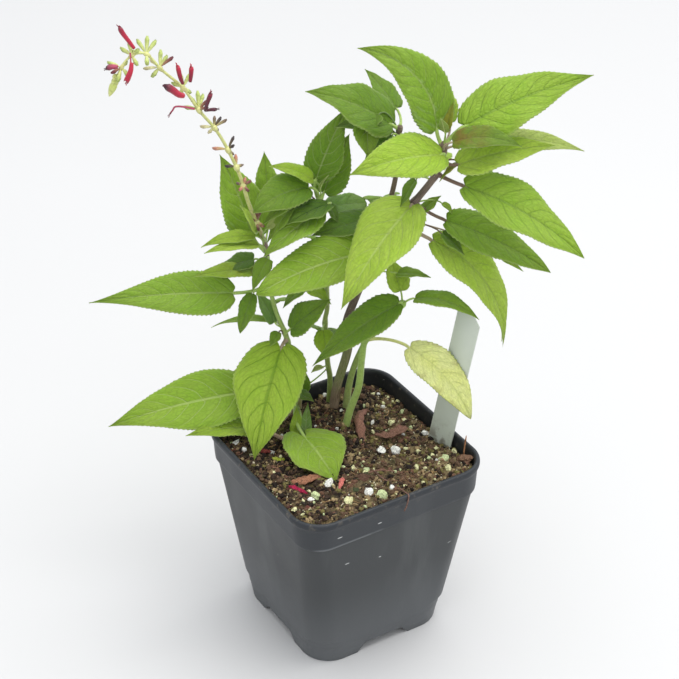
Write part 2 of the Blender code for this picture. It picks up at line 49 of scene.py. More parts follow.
# ---- sizes of the made pieces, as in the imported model
POT_HEIGHT = 96.0
FOOT_HALF_WIDTH = 36.3
LIP_HALF_WIDTH = 49.8
WALL = 1.2
BODY_FLARE = (LIP_HALF_WIDTH - 1.0 - FOOT_HALF_WIDTH) / POT_HEIGHT
FOOT_CORNER, BODY_CORNER, LIP_CORNER = 14.5, 11.5, 15.5
FLOOR_UNDERSIDE = 6.8
ARCH_HEIGHT, ARCH_HALF_WIDTH, ARCH_SLOPE = 4.8, 10.0, 4.0
DRAIN_OFFSET, DRAIN_RADIUS = 22.0, 5.0
SOIL_LEVEL, SOIL_FALL = 91.0, 0.045
SOIL_HALF_WIDTH, SOIL_CORNER = 46.9, 12.6
LABEL_FOOT = (42.7, -16.5)
LABEL_WIDTH, LABEL_LENGTH, LABEL_BURIED, LABEL_THICKNESS = 12.8, 84.0, 9.0, 0.8
LABEL_CLIP, LABEL_SMALL_CLIP, LABEL_BEVEL = 5.0, 1.5, 0.16
LABEL_TILT, LABEL_LEAN, LABEL_TURN = 4.0, 8.0, -71.0
STALK_HALF_WIDTH = 0.7
BLADE_FOLD, BLADE_DROOP, BASE_LOBE, HEART_LOBE = 17.0, 0.15, 0.10, 0.26
BLADE_THICKNESS, BLADE_TAPER = 0.32, 1.25
HEART_RATIO, LOBE_FADE = 0.9, 0.15           # a blade this wide for its length is heart-shaped
SCRAP_THICKNESS, SCRAP_LIFT = 0.28, 0.8      # dry leaves on the soil

# How finely the made pieces are divided.
POT_SIDES, DRAIN_SIDES, SOIL_CELLS = 192, 48, 150
STEM_SIDES, THIN_SIDES, CUP_SIDES, FLOWER_SIDES, FIBRE_SIDES = 20, 8, 12, 16, 5
STEM_STEPS, JOINT_STEPS, FLOWER_STEPS = 12, 8, 4
MIDRIB_STEPS = 60
CUP_ROWS = 9

# Where the lights stand and how strong they are: place, width, watts, colour.
SKY_COLOUR, SKY_STRENGTH = (0.95, 0.97, 1.0), 1.13
SOFTBOXES = {
    "softbox_right": ((0.35, -0.1, 1.6), 1.5, 23.5, (1.0, 0.985, 0.96)),
    "softbox_front": ((-0.3, -1.5, 1.1), 1.4, 4.0, (0.94, 0.97, 1.0)),
}
CAMERA_TURN, CAMERA_RISE, CAMERA_ROLL = -31.8, 33.02, 0.23
CAMERA_TARGET, CAMERA_DISTANCE, CAMERA_LENS = (-2.7, 0.0, 153.9), 0.8352, 98.8

# The plant spreads in an upright plane; these point along it, up it and out of its front.
ACROSS = np.array((0.851, -0.525, 0.0))
UPWARD = np.array((0.284, 0.465, 0.838))
FORWARD = np.array((-0.442, -0.713, 0.545))

STEMS = {
    "stem_main": (2.4, 1.4, ((14, 33, 83), (15, 31, 103), (18, 26, 127), (16, 24, 143), (18, 21, 156),
                             (22, 15, 176), (26, 9, 193), (31, 3, 206), (36, -3, 217), (41, -10, 232),
                             (42, -12, 246))),
    "stem_back": (1.5, 1.0, ((24.5, 18.6, 173), (29, 20, 184), (34, 19, 200), (37, 17, 218), (38, 17, 236),
                             (38, 16, 243))),
    "stem_centre": (2.0, 1.3, ((11, 18, 84), (13, 16, 99), (16, 13, 114), (17, 12, 130), (18, 10, 142),
                               (24, 4, 155), (31, -2, 164))),
    "stem_side": (1.9, 1.2, ((20, 31, 84), (20, 28, 104), (21, 24, 119), (23, 19, 133), (25, 14, 146))),
    "stem_left": (1.4, 1.0, ((15, 39, 83), (15, 37, 104), (13, 36, 116), (11, 35, 139), (11, 33, 151),
                             (9, 32, 181), (6, 31, 209))),
    "stem_spike": (1.9, 0.8, ((1, 43, 84), (-1, 42, 100), (-5, 40, 118), (-8, 38, 135), (-13, 39, 151),
                              (-16, 39, 166), (-17, 39, 182), (-19, 39, 192), (-25, 40, 210),
                              (-29, 41, 226), (-34, 43, 240), (-39, 44, 250), (-45, 46, 259),
                              (-51, 48, 270), (-59, 51, 279), (-64, 52, 286), (-68, 53, 288),
                              (-73, 54, 286), (-77, 55, 280), (-79, 56, 275))),
}


def srgb(*shade):
    """A paint-card shade, 0 to 255, as light."""
    return tuple(((value / 255 + 0.055) / 1.055) ** 2.4 if value > 10 else value / 3295 for value in shade)


# Greens of the leaves, from a lit young leaf to a dark one. Each leaf's green also paints light and shade: the
# darker greens stand for shade on leaves that lie in shadow, and a lighter green lifts a leaf that faces away
# from the lamps.
GREENS = {
    "lime": srgb(186, 210, 84),
    "fresh": srgb(168, 195, 66),
    "leaf": srgb(152, 181, 62),
    "mid": srgb(138, 168, 58),
    "deep": srgb(110, 140, 42),
    "shade": srgb(84, 114, 36),
    "blue": srgb(120, 150, 86),
    "olive": srgb(164, 164, 54),
    "pale": srgb(200, 211, 126),
    "yellow": srgb(252, 250, 176),
}
STALKS = {
    "green": srgb(160, 188, 96),
    "pale": srgb(200, 206, 130),
    "dark": srgb(98, 126, 58),
    "brown": srgb(112, 88, 74),
    "tan": srgb(168, 150, 128),
}

# Leaves: stem, height where the stalk leaves it, foot of the blade (x, y, z), heading from +X,
# pitch of the blade's middle, length, width, bow, roll; then green, paleness of the ribs, rust, stalk.
LEAVES = {
    "leaf_crown_face": ("stem_main", 211, (31, -4, 214), -167, -39, 55, 33, 25, 0, "lime", 0.6, 0, "tan"),
    "leaf_crown_front": ("stem_main", 238, (38, -16, 243), 179, 3, 46, 23, 20, -30, "fresh", 0.45, 0, "green"),
    "leaf_crown_arch": ("stem_main", 246, (40, -9, 252), 143, 46, 54, 22, 85, -50, "mid", 0.5, 0, "green"),
    "leaf_crown_upright": ("stem_main", 246, (48, -7, 252), 110, 62, 22, 13, 20, -20, "lime", 0.3, 0.1, "tan"),
    "leaf_back_left": ("stem_back", 241, (34, 18, 244), 157, 26, 42, 25, 30, -25, "deep", 0.4, 0, "green"),
    "leaf_back_up": ("stem_back", 242, (43, 27, 246), 114, 40, 22, 15, 20, 0, "deep", 0.3, 0, "green"),
    "leaf_back_under": ("stem_back", 237, (23, 20, 247), -116, -56, 16, 12, 20, -10, "mid", 0.6, 0, "dark"),
    "leaf_right_up": ("stem_main", 245, (51, -15, 253), -25, 21, 58, 28, 18, 30, "leaf", 0.1, 0, "green"),
    "leaf_right_pale": ("stem_main", 241, (66, -16, 243), -26, -11, 41, 11, 25, 25, "pale", 0.3, 0.2, "tan"),
    "leaf_right_red": ("stem_main", 242, (41, -20, 250), -44, 2, 30, 12, 50, 30, "deep", 0.2, 0.85, "tan"),
    # Painted light: this blade faces away from the lamps and is given the light lime green to make up for it.
    "leaf_right_level": ("stem_main", 236, (46, -18, 237), -32, 13, 42, 19, 20, 30, "lime", 0.5, 0, "brown"),
    "leaf_right_broad": ("stem_main", 229, (48, -21, 227), -45, -28, 61, 26, 30, 22, "leaf", 0.1, 0, "brown"),
    "leaf_right_shade": ("stem_main", 214, (46, -11, 206), -41, -25, 52, 20, 20, 30, "mid", 0.2, 0, "brown"),
    "leaf_right_hang": ("stem_main", 203, (42, -7, 195), -44, -57, 66, 23, 75, 20, "lime", 0.3, 0, "tan"),
    "leaf_over_label": ("stem_centre", 163, (33, -7, 168), -52, -9, 32, 12, 60, 10, "mid", 0.3, 0, "green"),
    "leaf_mid_dark": ("stem_centre", 160, (27, -3, 165), 163, -34, 49, 18, 20, -20, "deep", 0.4, 0, "green"),
    "leaf_mid_olive": ("stem_centre", 162, (31, 2, 168), 82, 41, 17, 11, 10, 0, "lime", 0.3, 0, "green"),
    "leaf_yellow": ("stem_centre", 142, (31, -7, 142), -66, -38, 44, 19, 50, 22, "yellow", 0.48, 0, "pale"),
    "leaf_small_hang": ("stem_left", 139, (7, 30, 139), -110, -49, 12, 10, 20, 0, "fresh", 0.3, 0, "green"),
    "leaf_left_upright": ("stem_left", 206, (6, 34, 218), -5, 64, 35, 18, 10, 35, "deep", 0.65, 0, "green"),
    "leaf_left_rear": ("stem_left", 207, (10, 34, 210), 15, 54, 28, 18, 10, 25, "deep", 0.6, 0, "green"),
    "leaf_left_far": ("stem_spike", 188, (-8, 53, 203), 70, 62, 21, 11, 10, 0, "mid", 0.3, 0, "green"),
    "leaf_left_long": ("stem_left", 208, (0, 31, 216), 179, -10, 29, 17, 45, -30, "deep", 0.3, 0, "green"),
    "leaf_left_broad": ("stem_left", 201, (2, 25, 206), -178, -25, 33, 20, 20, 0, "mid", 0.7, 0, "green"),
    "leaf_left_blue": ("stem_left", 199, (12, 35, 201), -8, -7, 20, 13, 10, 25, "blue", 0.4, 0, "green"),
    "leaf_middle_dark": ("stem_main", 194, (24, 17, 200), 165, -9, 28, 17, 10, -20, "shade", 0.3, 0, "green"),
    "leaf_middle_bright": ("stem_main", 184, (19, 8, 189), 168, -12, 56, 24, 25, -35, "leaf", 0.7, 0.1, "green"),
    "leaf_spike_upright": ("stem_spike", 184, (-21, 45, 191), 116, 65, 40, 23, 15, -30, "mid", 0.6, 0, "green"),
    "leaf_spike_small": ("stem_spike", 184, (-23, 37, 191), 174, 4, 26, 9, 30, -10, "lime", 0.3, 0, "green"),
    "leaf_spike_olive": ("stem_spike", 176, (-22, 42, 175), 168, 4, 29, 11, 20, -15, "fresh", 0.3, 0.5, "tan"),
    "leaf_long_stalk": ("stem_spike", 166, (-33, 44, 165), 161, 3, 65, 21, 12, -45, "mid", 0.6, 0, "green"),
    "leaf_spike_hang": ("stem_spike", 163, (-26, 37, 166), -158, -58, 19, 9, 20, 0, "deep", 0.3, 0, "green"),
    "leaf_spike_fold": ("stem_spike", 139, (-8, 34, 143), -42, 44, 26, 16, 10, 40, "deep", 0.2, 0, "green"),
    "leaf_low_broad": ("stem_spike", 133, (-13, 35, 133), -141, -47, 54, 34, 30, 0, "fresh", 0.0, 0, "tan"),
    "leaf_low_left": ("stem_spike", 104, (-26, 41, 110), 160, -9, 69, 29, 15, -32, "leaf", 0.7, 0, "green"),
    "leaf_low_under": ("stem_spike", 94, (-28, 30, 97), 166, 4, 36, 14, 20, -12, "fresh", 0.5, 0, "tan"),
    "leaf_heart": ("stem_spike", 96, (-15, 9, 98), -94, -8, 31, 31, 20, 0, "leaf", 0.6, 0, "green"),
}

# Leaves with blunter or sharper tips than the rest: power of the narrowing.
TIP_SHAPES = {
    "leaf_middle_bright": 0.8,
    "leaf_yellow": 0.85,
    "leaf_left_blue": 0.55,
    "leaf_left_long": 0.9,
    "leaf_right_broad": 1.0,
    "leaf_right_shade": 1.0,
    "leaf_small_hang": 0.8,
    "leaf_spike_hang": 0.85,
    "leaf_long_stalk": 1.5,
}

# Smaller leaves that have no solid of their own, in groups by where they grow.
SMALL_LEAVES = {
    "leaves_crown_small": (
        ("stem_main", 200, (43, -12, 201), -54, -40, 14, 9, 20, 0, "deep", 0.3, 0, "brown"),
        ("stem_main", 176, (32, 6, 175), -54, 4, 16, 9, 20, 0, "mid", 0.3, 0, "green"),
        ("stem_main", 236, (47, -15, 236), 177, -39, 11, 5.5, 20, 20, "olive", 0.3, 0.8, "brown"),
        ("stem_main", 214, (38, -3, 209), -12, 36, 11, 8, 20, 0, "mid", 0.6, 0, "green"),
        ("stem_main", 213, (46, -7, 213), -66, -39, 7, 4, 60, 0, "fresh", 0.4, 0, "green"),
        ("stem_main", 226, (34, -3, 226), 170, -60, 14, 8, 20, 0, "deep", 0.3, 0, "green"),
        ("stem_main", 246, (43, -12, 252), 20, 66, 12, 5, 20, 0, "olive", 0.3, 0.4, "green"),
        ("stem_main", 246, (41, -14, 252), -150, 60, 10, 5, 20, 0, "pale", 0.3, 0.2, "green"),
        ("stem_main", 203, (67, -23, 188), -43, -33, 13, 4, 10, 20, "fresh", 0.4, 0, "tan"),
    ),
    "leaves_back_small": (
        # Painted shade: this leaf fills a place that lies in shadow and takes the dark shade green.
        ("stem_back", 238, (33, 21, 246), 153, -10, 22, 13, 15, -20, "shade", 0.3, 0, "dark"),
        ("stem_back", 237, (33, 15, 240), -174, -27, 17, 11, 10, -10, "blue", 0.3, 0, "green"),
        ("stem_back", 239, (29, 20, 249), -170, -34, 14, 9, 30, 0, "deep", 0.4, 0, "dark"),
    ),
    "leaves_left_small": (
        ("stem_left", 208, (3, 32, 219), 168, 26, 23, 10, 30, -25, "fresh", 0.4, 0, "green"),
        ("stem_left", 203, (5, 23, 210), 178, -13, 21, 16, 25, 0, "shade", 0.0, 0, "green"),
        ("stem_left", 200, (8, 27, 207), -68, -54, 9, 7, 20, 0, "shade", 0.5, 0, "green"),
        ("stem_left", 158, (3, 40, 160), -173, -31, 15, 8, 20, 0, "deep", 0.3, 0, "green"),
        ("stem_left", 160, (3, 37, 161), -64, -24, 14, 9.5, 20, 0, "fresh", 0.5, 0, "green"),
        ("stem_left", 208, (6, 32, 213), -60, 60, 10, 4, 20, 0, "pale", 0.3, 0, "green"),
        ("stem_left", 200, (-5, 31, 213), 180, -26, 21, 8, 25, -15, "mid", 0.5, 0, "brown"),
        ("stem_left", 198, (-8, 31, 209), 171, -52, 21, 10, 20, 0, "mid", 0.6, 0, "green"),
    ),
    "leaves_spike_small": (
        ("stem_spike", 190, (-19, 35, 199), -7, 28, 16, 4, 15, 30, "pale", 0.3, 0, "green"),
        ("stem_spike", 188, (-24, 38, 195), 165, -4, 25, 8, 40, -15, "fresh", 0.3, 0, "green"),
        ("stem_spike", 176, (-22, 43, 180), 148, -20, 20, 12, 15, -10, "shade", 0.3, 0, "green"),
        ("stem_spike", 182, (-19, 35, 183), -163, -48, 16, 9.5, 20, 0, "mid", 0.5, 0, "green"),
        ("stem_spike", 197, (-26, 34, 200), 148, 65, 15, 9, 20, 0, "lime", 0.2, 0.2, "green"),
        ("stem_spike", 143, (-13, 43, 144), 130, -18, 33, 6, 40, 0, "mid", 0.3, 0, "green"),
        ("stem_spike", 143, (-14, 39, 146), 106, 46, 17, 10, 20, 0, "blue", 0.3, 0, "green"),
        ("stem_spike", 139, (-13, 37, 141), -161, -38, 8, 6, 20, 0, "mid", 0.3, 0.3, "brown"),
    ),
    "leaves_low_small": (
        ("stem_spike", 92, (-14, 19, 92), 62, 58, 15, 7, 20, 0, "fresh", 0.6, 0, "green"),
        ("stem_spike", 92, (-11, 17, 92), 50, 57, 17, 6, 20, 0, "blue", 0.8, 0, "green"),
        ("stem_spike", 98, (-5, 36, 105), -67, -5, 11, 8, 20, 0, "shade", 0.5, 0, "green"),
        ("stem_spike", 98, (1, 39, 101), 50, 57, 11, 7, 20, 0, "deep", 0.5, 0, "green"),
        ("stem_spike", 90, (-17, 20, 89), -161, -38, 7, 6, 20, 0, "fresh", 0.5, 0, "green"),
        ("stem_spike", 100, (9, 34, 116), -174, -7, 7, 4, 40, 0, "pale", 0.4, 0, "green"),
    ),
    "leaves_rear": (
        ("stem_main", 176, (28, 24, 178), 58, -36, 34, 17, 25, 0, "mid", 0.4, 0, "green"),
        ("stem_main", 229, (46, 2, 230), 60, -30, 40, 20, 30, 0, "fresh", 0.4, 0, "brown"),
        ("stem_back", 200, (38, 27, 202), 66, -38, 34, 17, 30, 0, "mid", 0.4, 0, "green"),
        ("stem_left", 180, (12, 40, 182), 62, -36, 30, 15, 25, 0, "mid", 0.4, 0, "green"),
        ("stem_side", 132, (28, 26, 134), 56, -40, 32, 16, 25, 0, "deep", 0.4, 0, "green"),
        ("stem_spike", 150, (-10, 46, 152), 64, -38, 26, 13, 25, 0, "mid", 0.4, 0, "green"),
        ("stem_left", 130, (14, 42, 131), 50, -42, 28, 14, 25, 0, "deep", 0.4, 0, "green"),
    ),
}

# Flower cups: rings on the spike at a share of its length, each cup by its tip (across, up, forward).
CUP_KINDS = {
    "cup": (1.05, srgb(216, 222, 150), srgb(176, 192, 108)),
    "pale": (0.85, srgb(226, 226, 178), srgb(206, 196, 150)),
    "tan": (0.9, srgb(206, 190, 130), srgb(190, 130, 110)),
    "dry": (0.8, srgb(190, 180, 122), srgb(120, 100, 84)),
    "dark": (0.8, srgb(110, 96, 70), srgb(52, 40, 44)),
    "purple": (0.85, srgb(164, 128, 96), srgb(112, 36, 52)),
    "rusty": (0.8, srgb(176, 140, 112), srgb(126, 76, 70)),
}
RINGS = {
    "cups_low": (0.40, (("rusty", 0.4, 3.2, 2.0), ("rusty", 0.8, -3.0, 2.2), ("purple", -0.4, 6.0, 1.6),
                        ("rusty", -1.4, 0.8, 2.2), ("rusty", 1.6, 4.4, 1.6), ("tan", 2.4, -1.4, 0.8),
                        ("dry", -2.0, 0.6, -2.4))),
    "cups_fourth": (0.455, (("rusty", 2.8, 1.6, 1.2), ("tan", 0.8, 2.4, 2.0), ("dry", -2.2, 0.8, 1.0),
                            ("rusty", 1.8, -2.0, 1.4), ("tan", -1.0, -1.6, 1.4), ("dry", 1.0, 1.0, -2.6))),
    "cups_third": (0.49, (("tan", -0.2, 4.2, 1.2), ("dark", -3.8, 0.2, 1.0), ("dry", 2.0, 0.8, -1.4))),
    "cups_second": (0.52, (("dark", 2.2, 4.8, 0.4), ("dark", 2.2, 1.4, 1.4), ("tan", -5.4, 0.4, 0.6),
                           ("dry", 1.6, -1.4, -2.2))),
    "whorl_1": (0.585, (("dry", 0.2, 3.8, 1.2), ("dark", 2.4, 3.8, -0.6), ("dry", 4.6, 2.8, 0.8),
                        ("pale", -4.8, 0.2, 1.0), ("pale", -2.0, -1.5, -2.5), ("dry", 1.0, -0.5, -3.5))),
    "whorl_2": (0.638, (("cup", -0.4, 6.6, 0.6), ("cup", 1.4, 5.8, -1.6), ("cup", -2.8, 4.4, -1.0),
                        ("cup", -4.8, 0.9, 1.0), ("purple", 3.2, 0.6, 2.0), ("purple", 3.0, 3.4, 0.4))),
    "whorl_3": (0.690, (("cup", -0.8, 4.6, 1.0), ("cup", 2.4, 4.8, 0.0), ("cup", -3.4, 1.4, 1.4),
                        ("cup", 2.0, -1.2, -2.0), ("cup", -1.0, -1.6, -2.4))),
    "whorl_4": (0.745, (("cup", 0.4, 6.0, 0.5), ("pale", -5.6, -0.4, 0.8), ("purple", 4.8, 3.8, 0.5),
                        ("cup", 2.4, 4.2, -1.0), ("cup", -2.4, -2.6, -1.0), ("pale", -3.4, 3.0, -1.0))),
    "whorl_5": (0.805, (("cup", -3.2, 5.0, 0.0), ("cup", 0.4, 6.0, 1.0), ("cup", 3.2, 4.8, -0.5),
                        ("cup", 0.4, -3.4, 1.5), ("cup", -4.6, 0.8, 1.0))),
    "whorl_6": (0.875, (("cup", -0.8, 4.8, 0.6), ("cup", -3.6, 2.6, -1.0), ("cup", 1.8, -3.0, 1.0),
                        ("cup", 2.4, 1.8, 1.4))),
    "whorl_7": (0.930, (("cup", -4.4, 1.8, 0.0), ("purple", -3.0, -2.0, 2.0), ("cup", 2.4, -2.6, 1.0),
                        ("cup", -1.0, -4.5, 1.0), ("cup", 1.5, 2.4, -2.0))),
}
BUDS = ((0.955, 2.2, 1.1), (0.975, 2.0, 1.0), (0.99, 1.7, 0.9))     # share of the spike, reach, radius

# Flower tubes: radius at the cup, radius at the mouth, points, colour at the foot and at the mouth.
# The second group has tubes too small or withered to have solids of their own.
RED, DEEP_RED, PINK, PLUM = srgb(182, 6, 54), srgb(126, 6, 46), srgb(176, 66, 98), srgb(78, 14, 42)
FLOWERS = {
    "flower_top": (0.7, 1.15, ((-70.5, 52, 291), (-72.4, 53, 294.4), (-74.2, 54, 297.6), (-75.4, 54.6, 300.4)),
                   RED, DEEP_RED),
    "flower_tip": (0.8, 1.35, ((-73, 50, 286), (-74, 49, 283.4), (-75.2, 49, 280.8), (-76.2, 49.6, 278.4)),
                   RED, RED),
    "flower_left": (1.1, 1.75, ((-53.5, 43, 269), (-56, 42.5, 270.5), (-58.5, 43, 273), (-61, 43.5, 275)),
                    RED, PLUM),
    "flower_upper_pair": (0.7, 1.1, ((-52, 46, 273), (-53, 46, 276), (-53.5, 47, 281)), DEEP_RED, RED),
    "flower_right_pair": (0.7, 1.1, ((-49.5, 44, 274), (-49, 44, 277), (-48.6, 44, 280.5)), DEEP_RED, RED),
    "flower_dark": (0.6, 1.1, ((-44, 42, 260), (-43.4, 41, 264), (-42, 40, 268.5)), PLUM, DEEP_RED),
}
LOOSE_FLOWERS = (
    (0.5, 0.9, ((-43, 44, 259), (-41, 43, 259.4), (-39, 41.6, 259.6)), PLUM, PLUM),
    (0.5, 0.35, ((-47, 46, 260), (-50, 47.4, 261), (-54, 49.6, 261.4), (-55.2, 50.4, 259.6),
                 (-56.4, 51, 258)), PINK, DEEP_RED),
    (0.8, 1.3, ((-77, 55, 283), (-79, 56, 283.2), (-81, 57.2, 282.6)), PINK, PLUM),
    (0.35, 0.3, ((-72, 53, 289), (-72.4, 52, 287), (-73, 51, 285)), PINK, RED),
)


# ---- finishes

class Wire:
    """A value in a material, which ordinary sums can be written on."""

    def __init__(self, finish, socket):
        self.finish = finish
        self.socket = socket

    def sum(self, operation, *values):
        return self.finish.node("Math", {"operation": operation}, dict(enumerate(values)))

    def __add__(self, other):
        return self.sum("ADD", self, other)

    def __sub__(self, other):
        return self.sum("SUBTRACT", self, other)

    def __rsub__(self, other):
        return self.sum("SUBTRACT", other, self)

    def __mul__(self, other):
        return self.sum("MULTIPLY", self, other)

    def __abs__(self):
        return self.sum("ABSOLUTE", self)

    __radd__ = __add__
    __rmul__ = __mul__

    def output(self, name):
        """Another output of the same node."""
        return Wire(self.finish, self.socket.node.outputs[name])


class Finish:
    """A material being mixed, node by node."""

    def __init__(self, name):
        self.material = bpy.data.materials.new(name)
        self.material.use_nodes = True
        self.tree = self.material.node_tree
        self.tree.nodes.clear()

    def node(self, kind, settings=None, inputs=None, output=0):
        """Adds a node: its settings first, then the values and wires of its sockets."""
        made = self.tree.nodes.new("ShaderNode" + kind)
        for key, value in (settings or {}).items():
            if key == "stops":
                ramp = made.color_ramp.elements
                while len(ramp) < len(value):
                    ramp.new(1.0)
                for stop, (place, shade) in zip(ramp, value):
                    stop.position = place
                    stop.color = (*shade, 1.0)
            else:
                setattr(made, key, value)
        for key, value in (inputs or {}).items():
            if isinstance(value, Wire):
                self.tree.links.new(value.socket, made.inputs[key])
            elif isinstance(value, tuple) and len(value) == 3 and made.inputs[key].type == "RGBA":
                made.inputs[key].default_value = (*value, 1.0)
            else:
                made.inputs[key].default_value = value
        return Wire(self, made.outputs[output]) if made.outputs else None

    def attribute(self, name, output="Vector"):
        return self.node("Attribute", {"attribute_name": name}, output=output)

    def parts(self, vector):
        split = self.node("SeparateXYZ", inputs={0: vector})
        return split, split.output("Y"), split.output("Z")

    def place(self):
        return self.node("TexCoord", output="Object")

    def scaled(self, vector, scale, turn=(0.0, 0.0, 0.0)):
        turn = tuple(math.radians(angle) for angle in turn)
        return self.node("Mapping", {}, {"Vector": vector, "Scale": scale, "Rotation": turn})

    def grain(self, vector, scale, detail=3.0, roughness=0.55):
        return self.node("TexNoise", {}, {"Vector": vector, "Scale": scale, "Detail": detail,
                                          "Roughness": roughness})

    def cells(self, vector, scale, feature="F1", output="Distance"):
        return self.node("TexVoronoi", {"feature": feature}, {"Vector": vector, "Scale": scale}, output)

    def fade(self, value, low, high, start=0.0, end=1.0):
        """A soft step from start at low to end at high."""
        return self.node("MapRange", {"interpolation_type": "SMOOTHSTEP"},
                         {0: value, 1: low, 2: high, 3: start, 4: end})

    def mix(self, share, first, second, blend="MIX"):
        settings = {"data_type": "RGBA", "blend_type": blend}
        return self.node("Mix", settings, {0: share, 6: first, 7: second}, 2)

    def ramp(self, value, stops):
        return self.node("ValToRGB", {"stops": stops}, {0: value})

    def bump(self, height, depth, strength=1.0):
        return self.node("Bump", {}, {"Height": height, "Distance": depth, "Strength": strength})

    def surface(self, colour, roughness, normal=None, translucent=None, share=None, **extra):
        """Closes the material with a shader, and with light coming through it where it is thin."""
        inputs = {"Base Color": colour, "Roughness": roughness}
        if normal is not None:
            inputs["Normal"] = normal
        inputs.update({key.replace("_", " "): value for key, value in extra.items()})
        shader = self.node("BsdfPrincipled", {}, inputs)
        if translucent is not None:
            through = self.node("BsdfTranslucent", {}, {"Color": translucent})
            shader = self.node("MixShader", {}, {0: share, 1: shader, 2: through})
        self.node("OutputMaterial", {}, {"Surface": shader})
        return self.material


def leaf_finish(name, underside):
    """Leaf skin: midrib, arched side veins, a fine net between them, and blisters."""
    finish = Finish(name)
    across, along, row = finish.parts(finish.attribute("blade"))
    paleness, rust, spots = finish.parts(finish.attribute("marks"))
    tone = finish.attribute("tone", "Color")
    place = finish.place()
    out = abs(across)
    wander = finish.grain(place, 150.0, 3.0) - 0.5
    line = (row + wander * 0.05).sum("PINGPONG", row + wander * 0.05, 0.5)
    marked = abs(paleness - 0.4)
    side_vein = finish.fade(line, marked * 0.09 + 0.045, 0.010) * finish.fade(out, 1.0, 0.70, 0.1, 1.0)
    midrib = finish.fade(out, 0.070, 0.022)
    net_place = finish.node("CombineXYZ", {}, {0: across * 7.0 + wander, 1: row * 3.0, 2: paleness})
    net_edge = finish.cells(net_place, 1.0, "DISTANCE_TO_EDGE")
    net = finish.fade(net_edge, 0.16, 0.03)
    cloud = finish.grain(place, 130.0)
    fleck = finish.grain(place, 900.0, 4.0)
    body = finish.mix(finish.fade(cloud, 0.35, 0.7, 0.0, 0.35), tone, (0.30, 0.46, 0.06), "SOFT_LIGHT")
    body = finish.mix(finish.fade(fleck, 0.3, 0.7, 0.0, 0.16), body, (0.04, 0.09, 0.01))
    darker = finish.mix(1.0, body, (0.48, 0.58, 0.34), "MULTIPLY")
    lighter = finish.mix(0.55, body, (0.72, 0.82, 0.34))
    vein_shade = finish.mix(paleness, darker, lighter)
    if underside:
        body = finish.mix(0.34, body, (0.42, 0.55, 0.24))
        vein_shade = lighter
    # Where the net and veins are darker, this is partly the leaves' own vein colour and partly painted shade in
    # the sunken veins.
    body = finish.mix(net * 0.34, body, darker)
    body = finish.mix(side_vein * (marked * 1.2 + 0.34), body, vein_shade)
    body = finish.mix(midrib * (marked * 0.9 + 0.50), body, vein_shade)
    body = finish.mix(finish.fade(out, 0.93, 1.0, 0.0, 0.35), body, (0.52, 0.62, 0.20))
    stain = finish.fade(finish.grain(place, 170.0, 4.0), 0.32, 0.66) * rust * finish.fade(along, 0.75, 0.1)
    body = finish.mix(stain * 0.8, body, (0.24, 0.09, 0.03))
    edge_burn = finish.fade(finish.grain(place, 160.0, 5.0), 0.52, 0.60) * spots
    edge_burn = edge_burn * finish.fade(out, 0.55, 0.95)
    body = finish.mix(edge_burn, body, (0.22, 0.13, 0.05))
    raised = -1.0 if underside else 1.0
    height = (0.5 - side_vein * 0.45 - midrib * 0.5 - net * 0.30) * raised + fleck * 0.14
    normal = finish.bump(height, 0.00060, 0.85)
    through = finish.fade(net, 0.0, 1.0, 0.34, 0.26) - side_vein * 0.08 - midrib * 0.12
    return finish.surface(body, finish.fade(fleck, 0.2, 0.8, 0.42, 0.58), normal, srgb(176, 214, 40), through,
                          Sheen_Weight=0.05, Sheen_Roughness=0.5, Specular_IOR_Level=0.30)


def tissue_finish(name, roughness, streaks=60.0):
    """Stalks, cups and petals: the piece's own tone with fine streaks along it."""
    finish = Finish(name)
    around, along, _ = finish.parts(finish.attribute("blade"))
    tone = finish.attribute("tone", "Color")
    streak_place = finish.node("CombineXYZ", {}, {0: around * 5.0, 1: along * 1.2, 2: 0.0})
    streak = finish.grain(streak_place, 2.4, 4.0)
    fleck = finish.grain(finish.place(), streaks * 12.0, 3.0)
    body = finish.mix(finish.fade(streak, 0.35, 0.7, 0.0, 0.45), tone, (0.40, 0.34, 0.16), "SOFT_LIGHT")
    body = finish.mix(finish.fade(fleck, 0.45, 0.7, 0.0, 0.25), body, (0.05, 0.04, 0.02))
    normal = finish.bump(streak + fleck * 0.4, 0.0002)
    return finish.surface(body, roughness, normal, Sheen_Weight=0.15)


def bark_finish(name):
    """Woody stems: brown with paler lengthwise fissures and small pale dots."""
    finish = Finish(name)
    around, along, _ = finish.parts(finish.attribute("blade"))
    tone = finish.attribute("tone", "Color")
    crack_place = finish.node("CombineXYZ", {}, {0: around * 9.0, 1: along * 0.9, 2: 0.0})
    crack = finish.grain(crack_place, 2.0, 5.0, 0.65)
    dots = finish.fade(finish.cells(finish.place(), 700.0), 0.22, 0.10)
    body = finish.mix(finish.fade(crack, 0.42, 0.62, 0.0, 0.6), tone, (0.30, 0.24, 0.18))
    body = finish.mix(finish.fade(crack, 0.50, 0.30, 0.0, 0.6), body, (0.030, 0.020, 0.018))
    body = finish.mix(dots * 0.35, body, (0.45, 0.40, 0.32))
    normal = finish.bump(crack, 0.0004)
    return finish.surface(body, 0.72, normal)


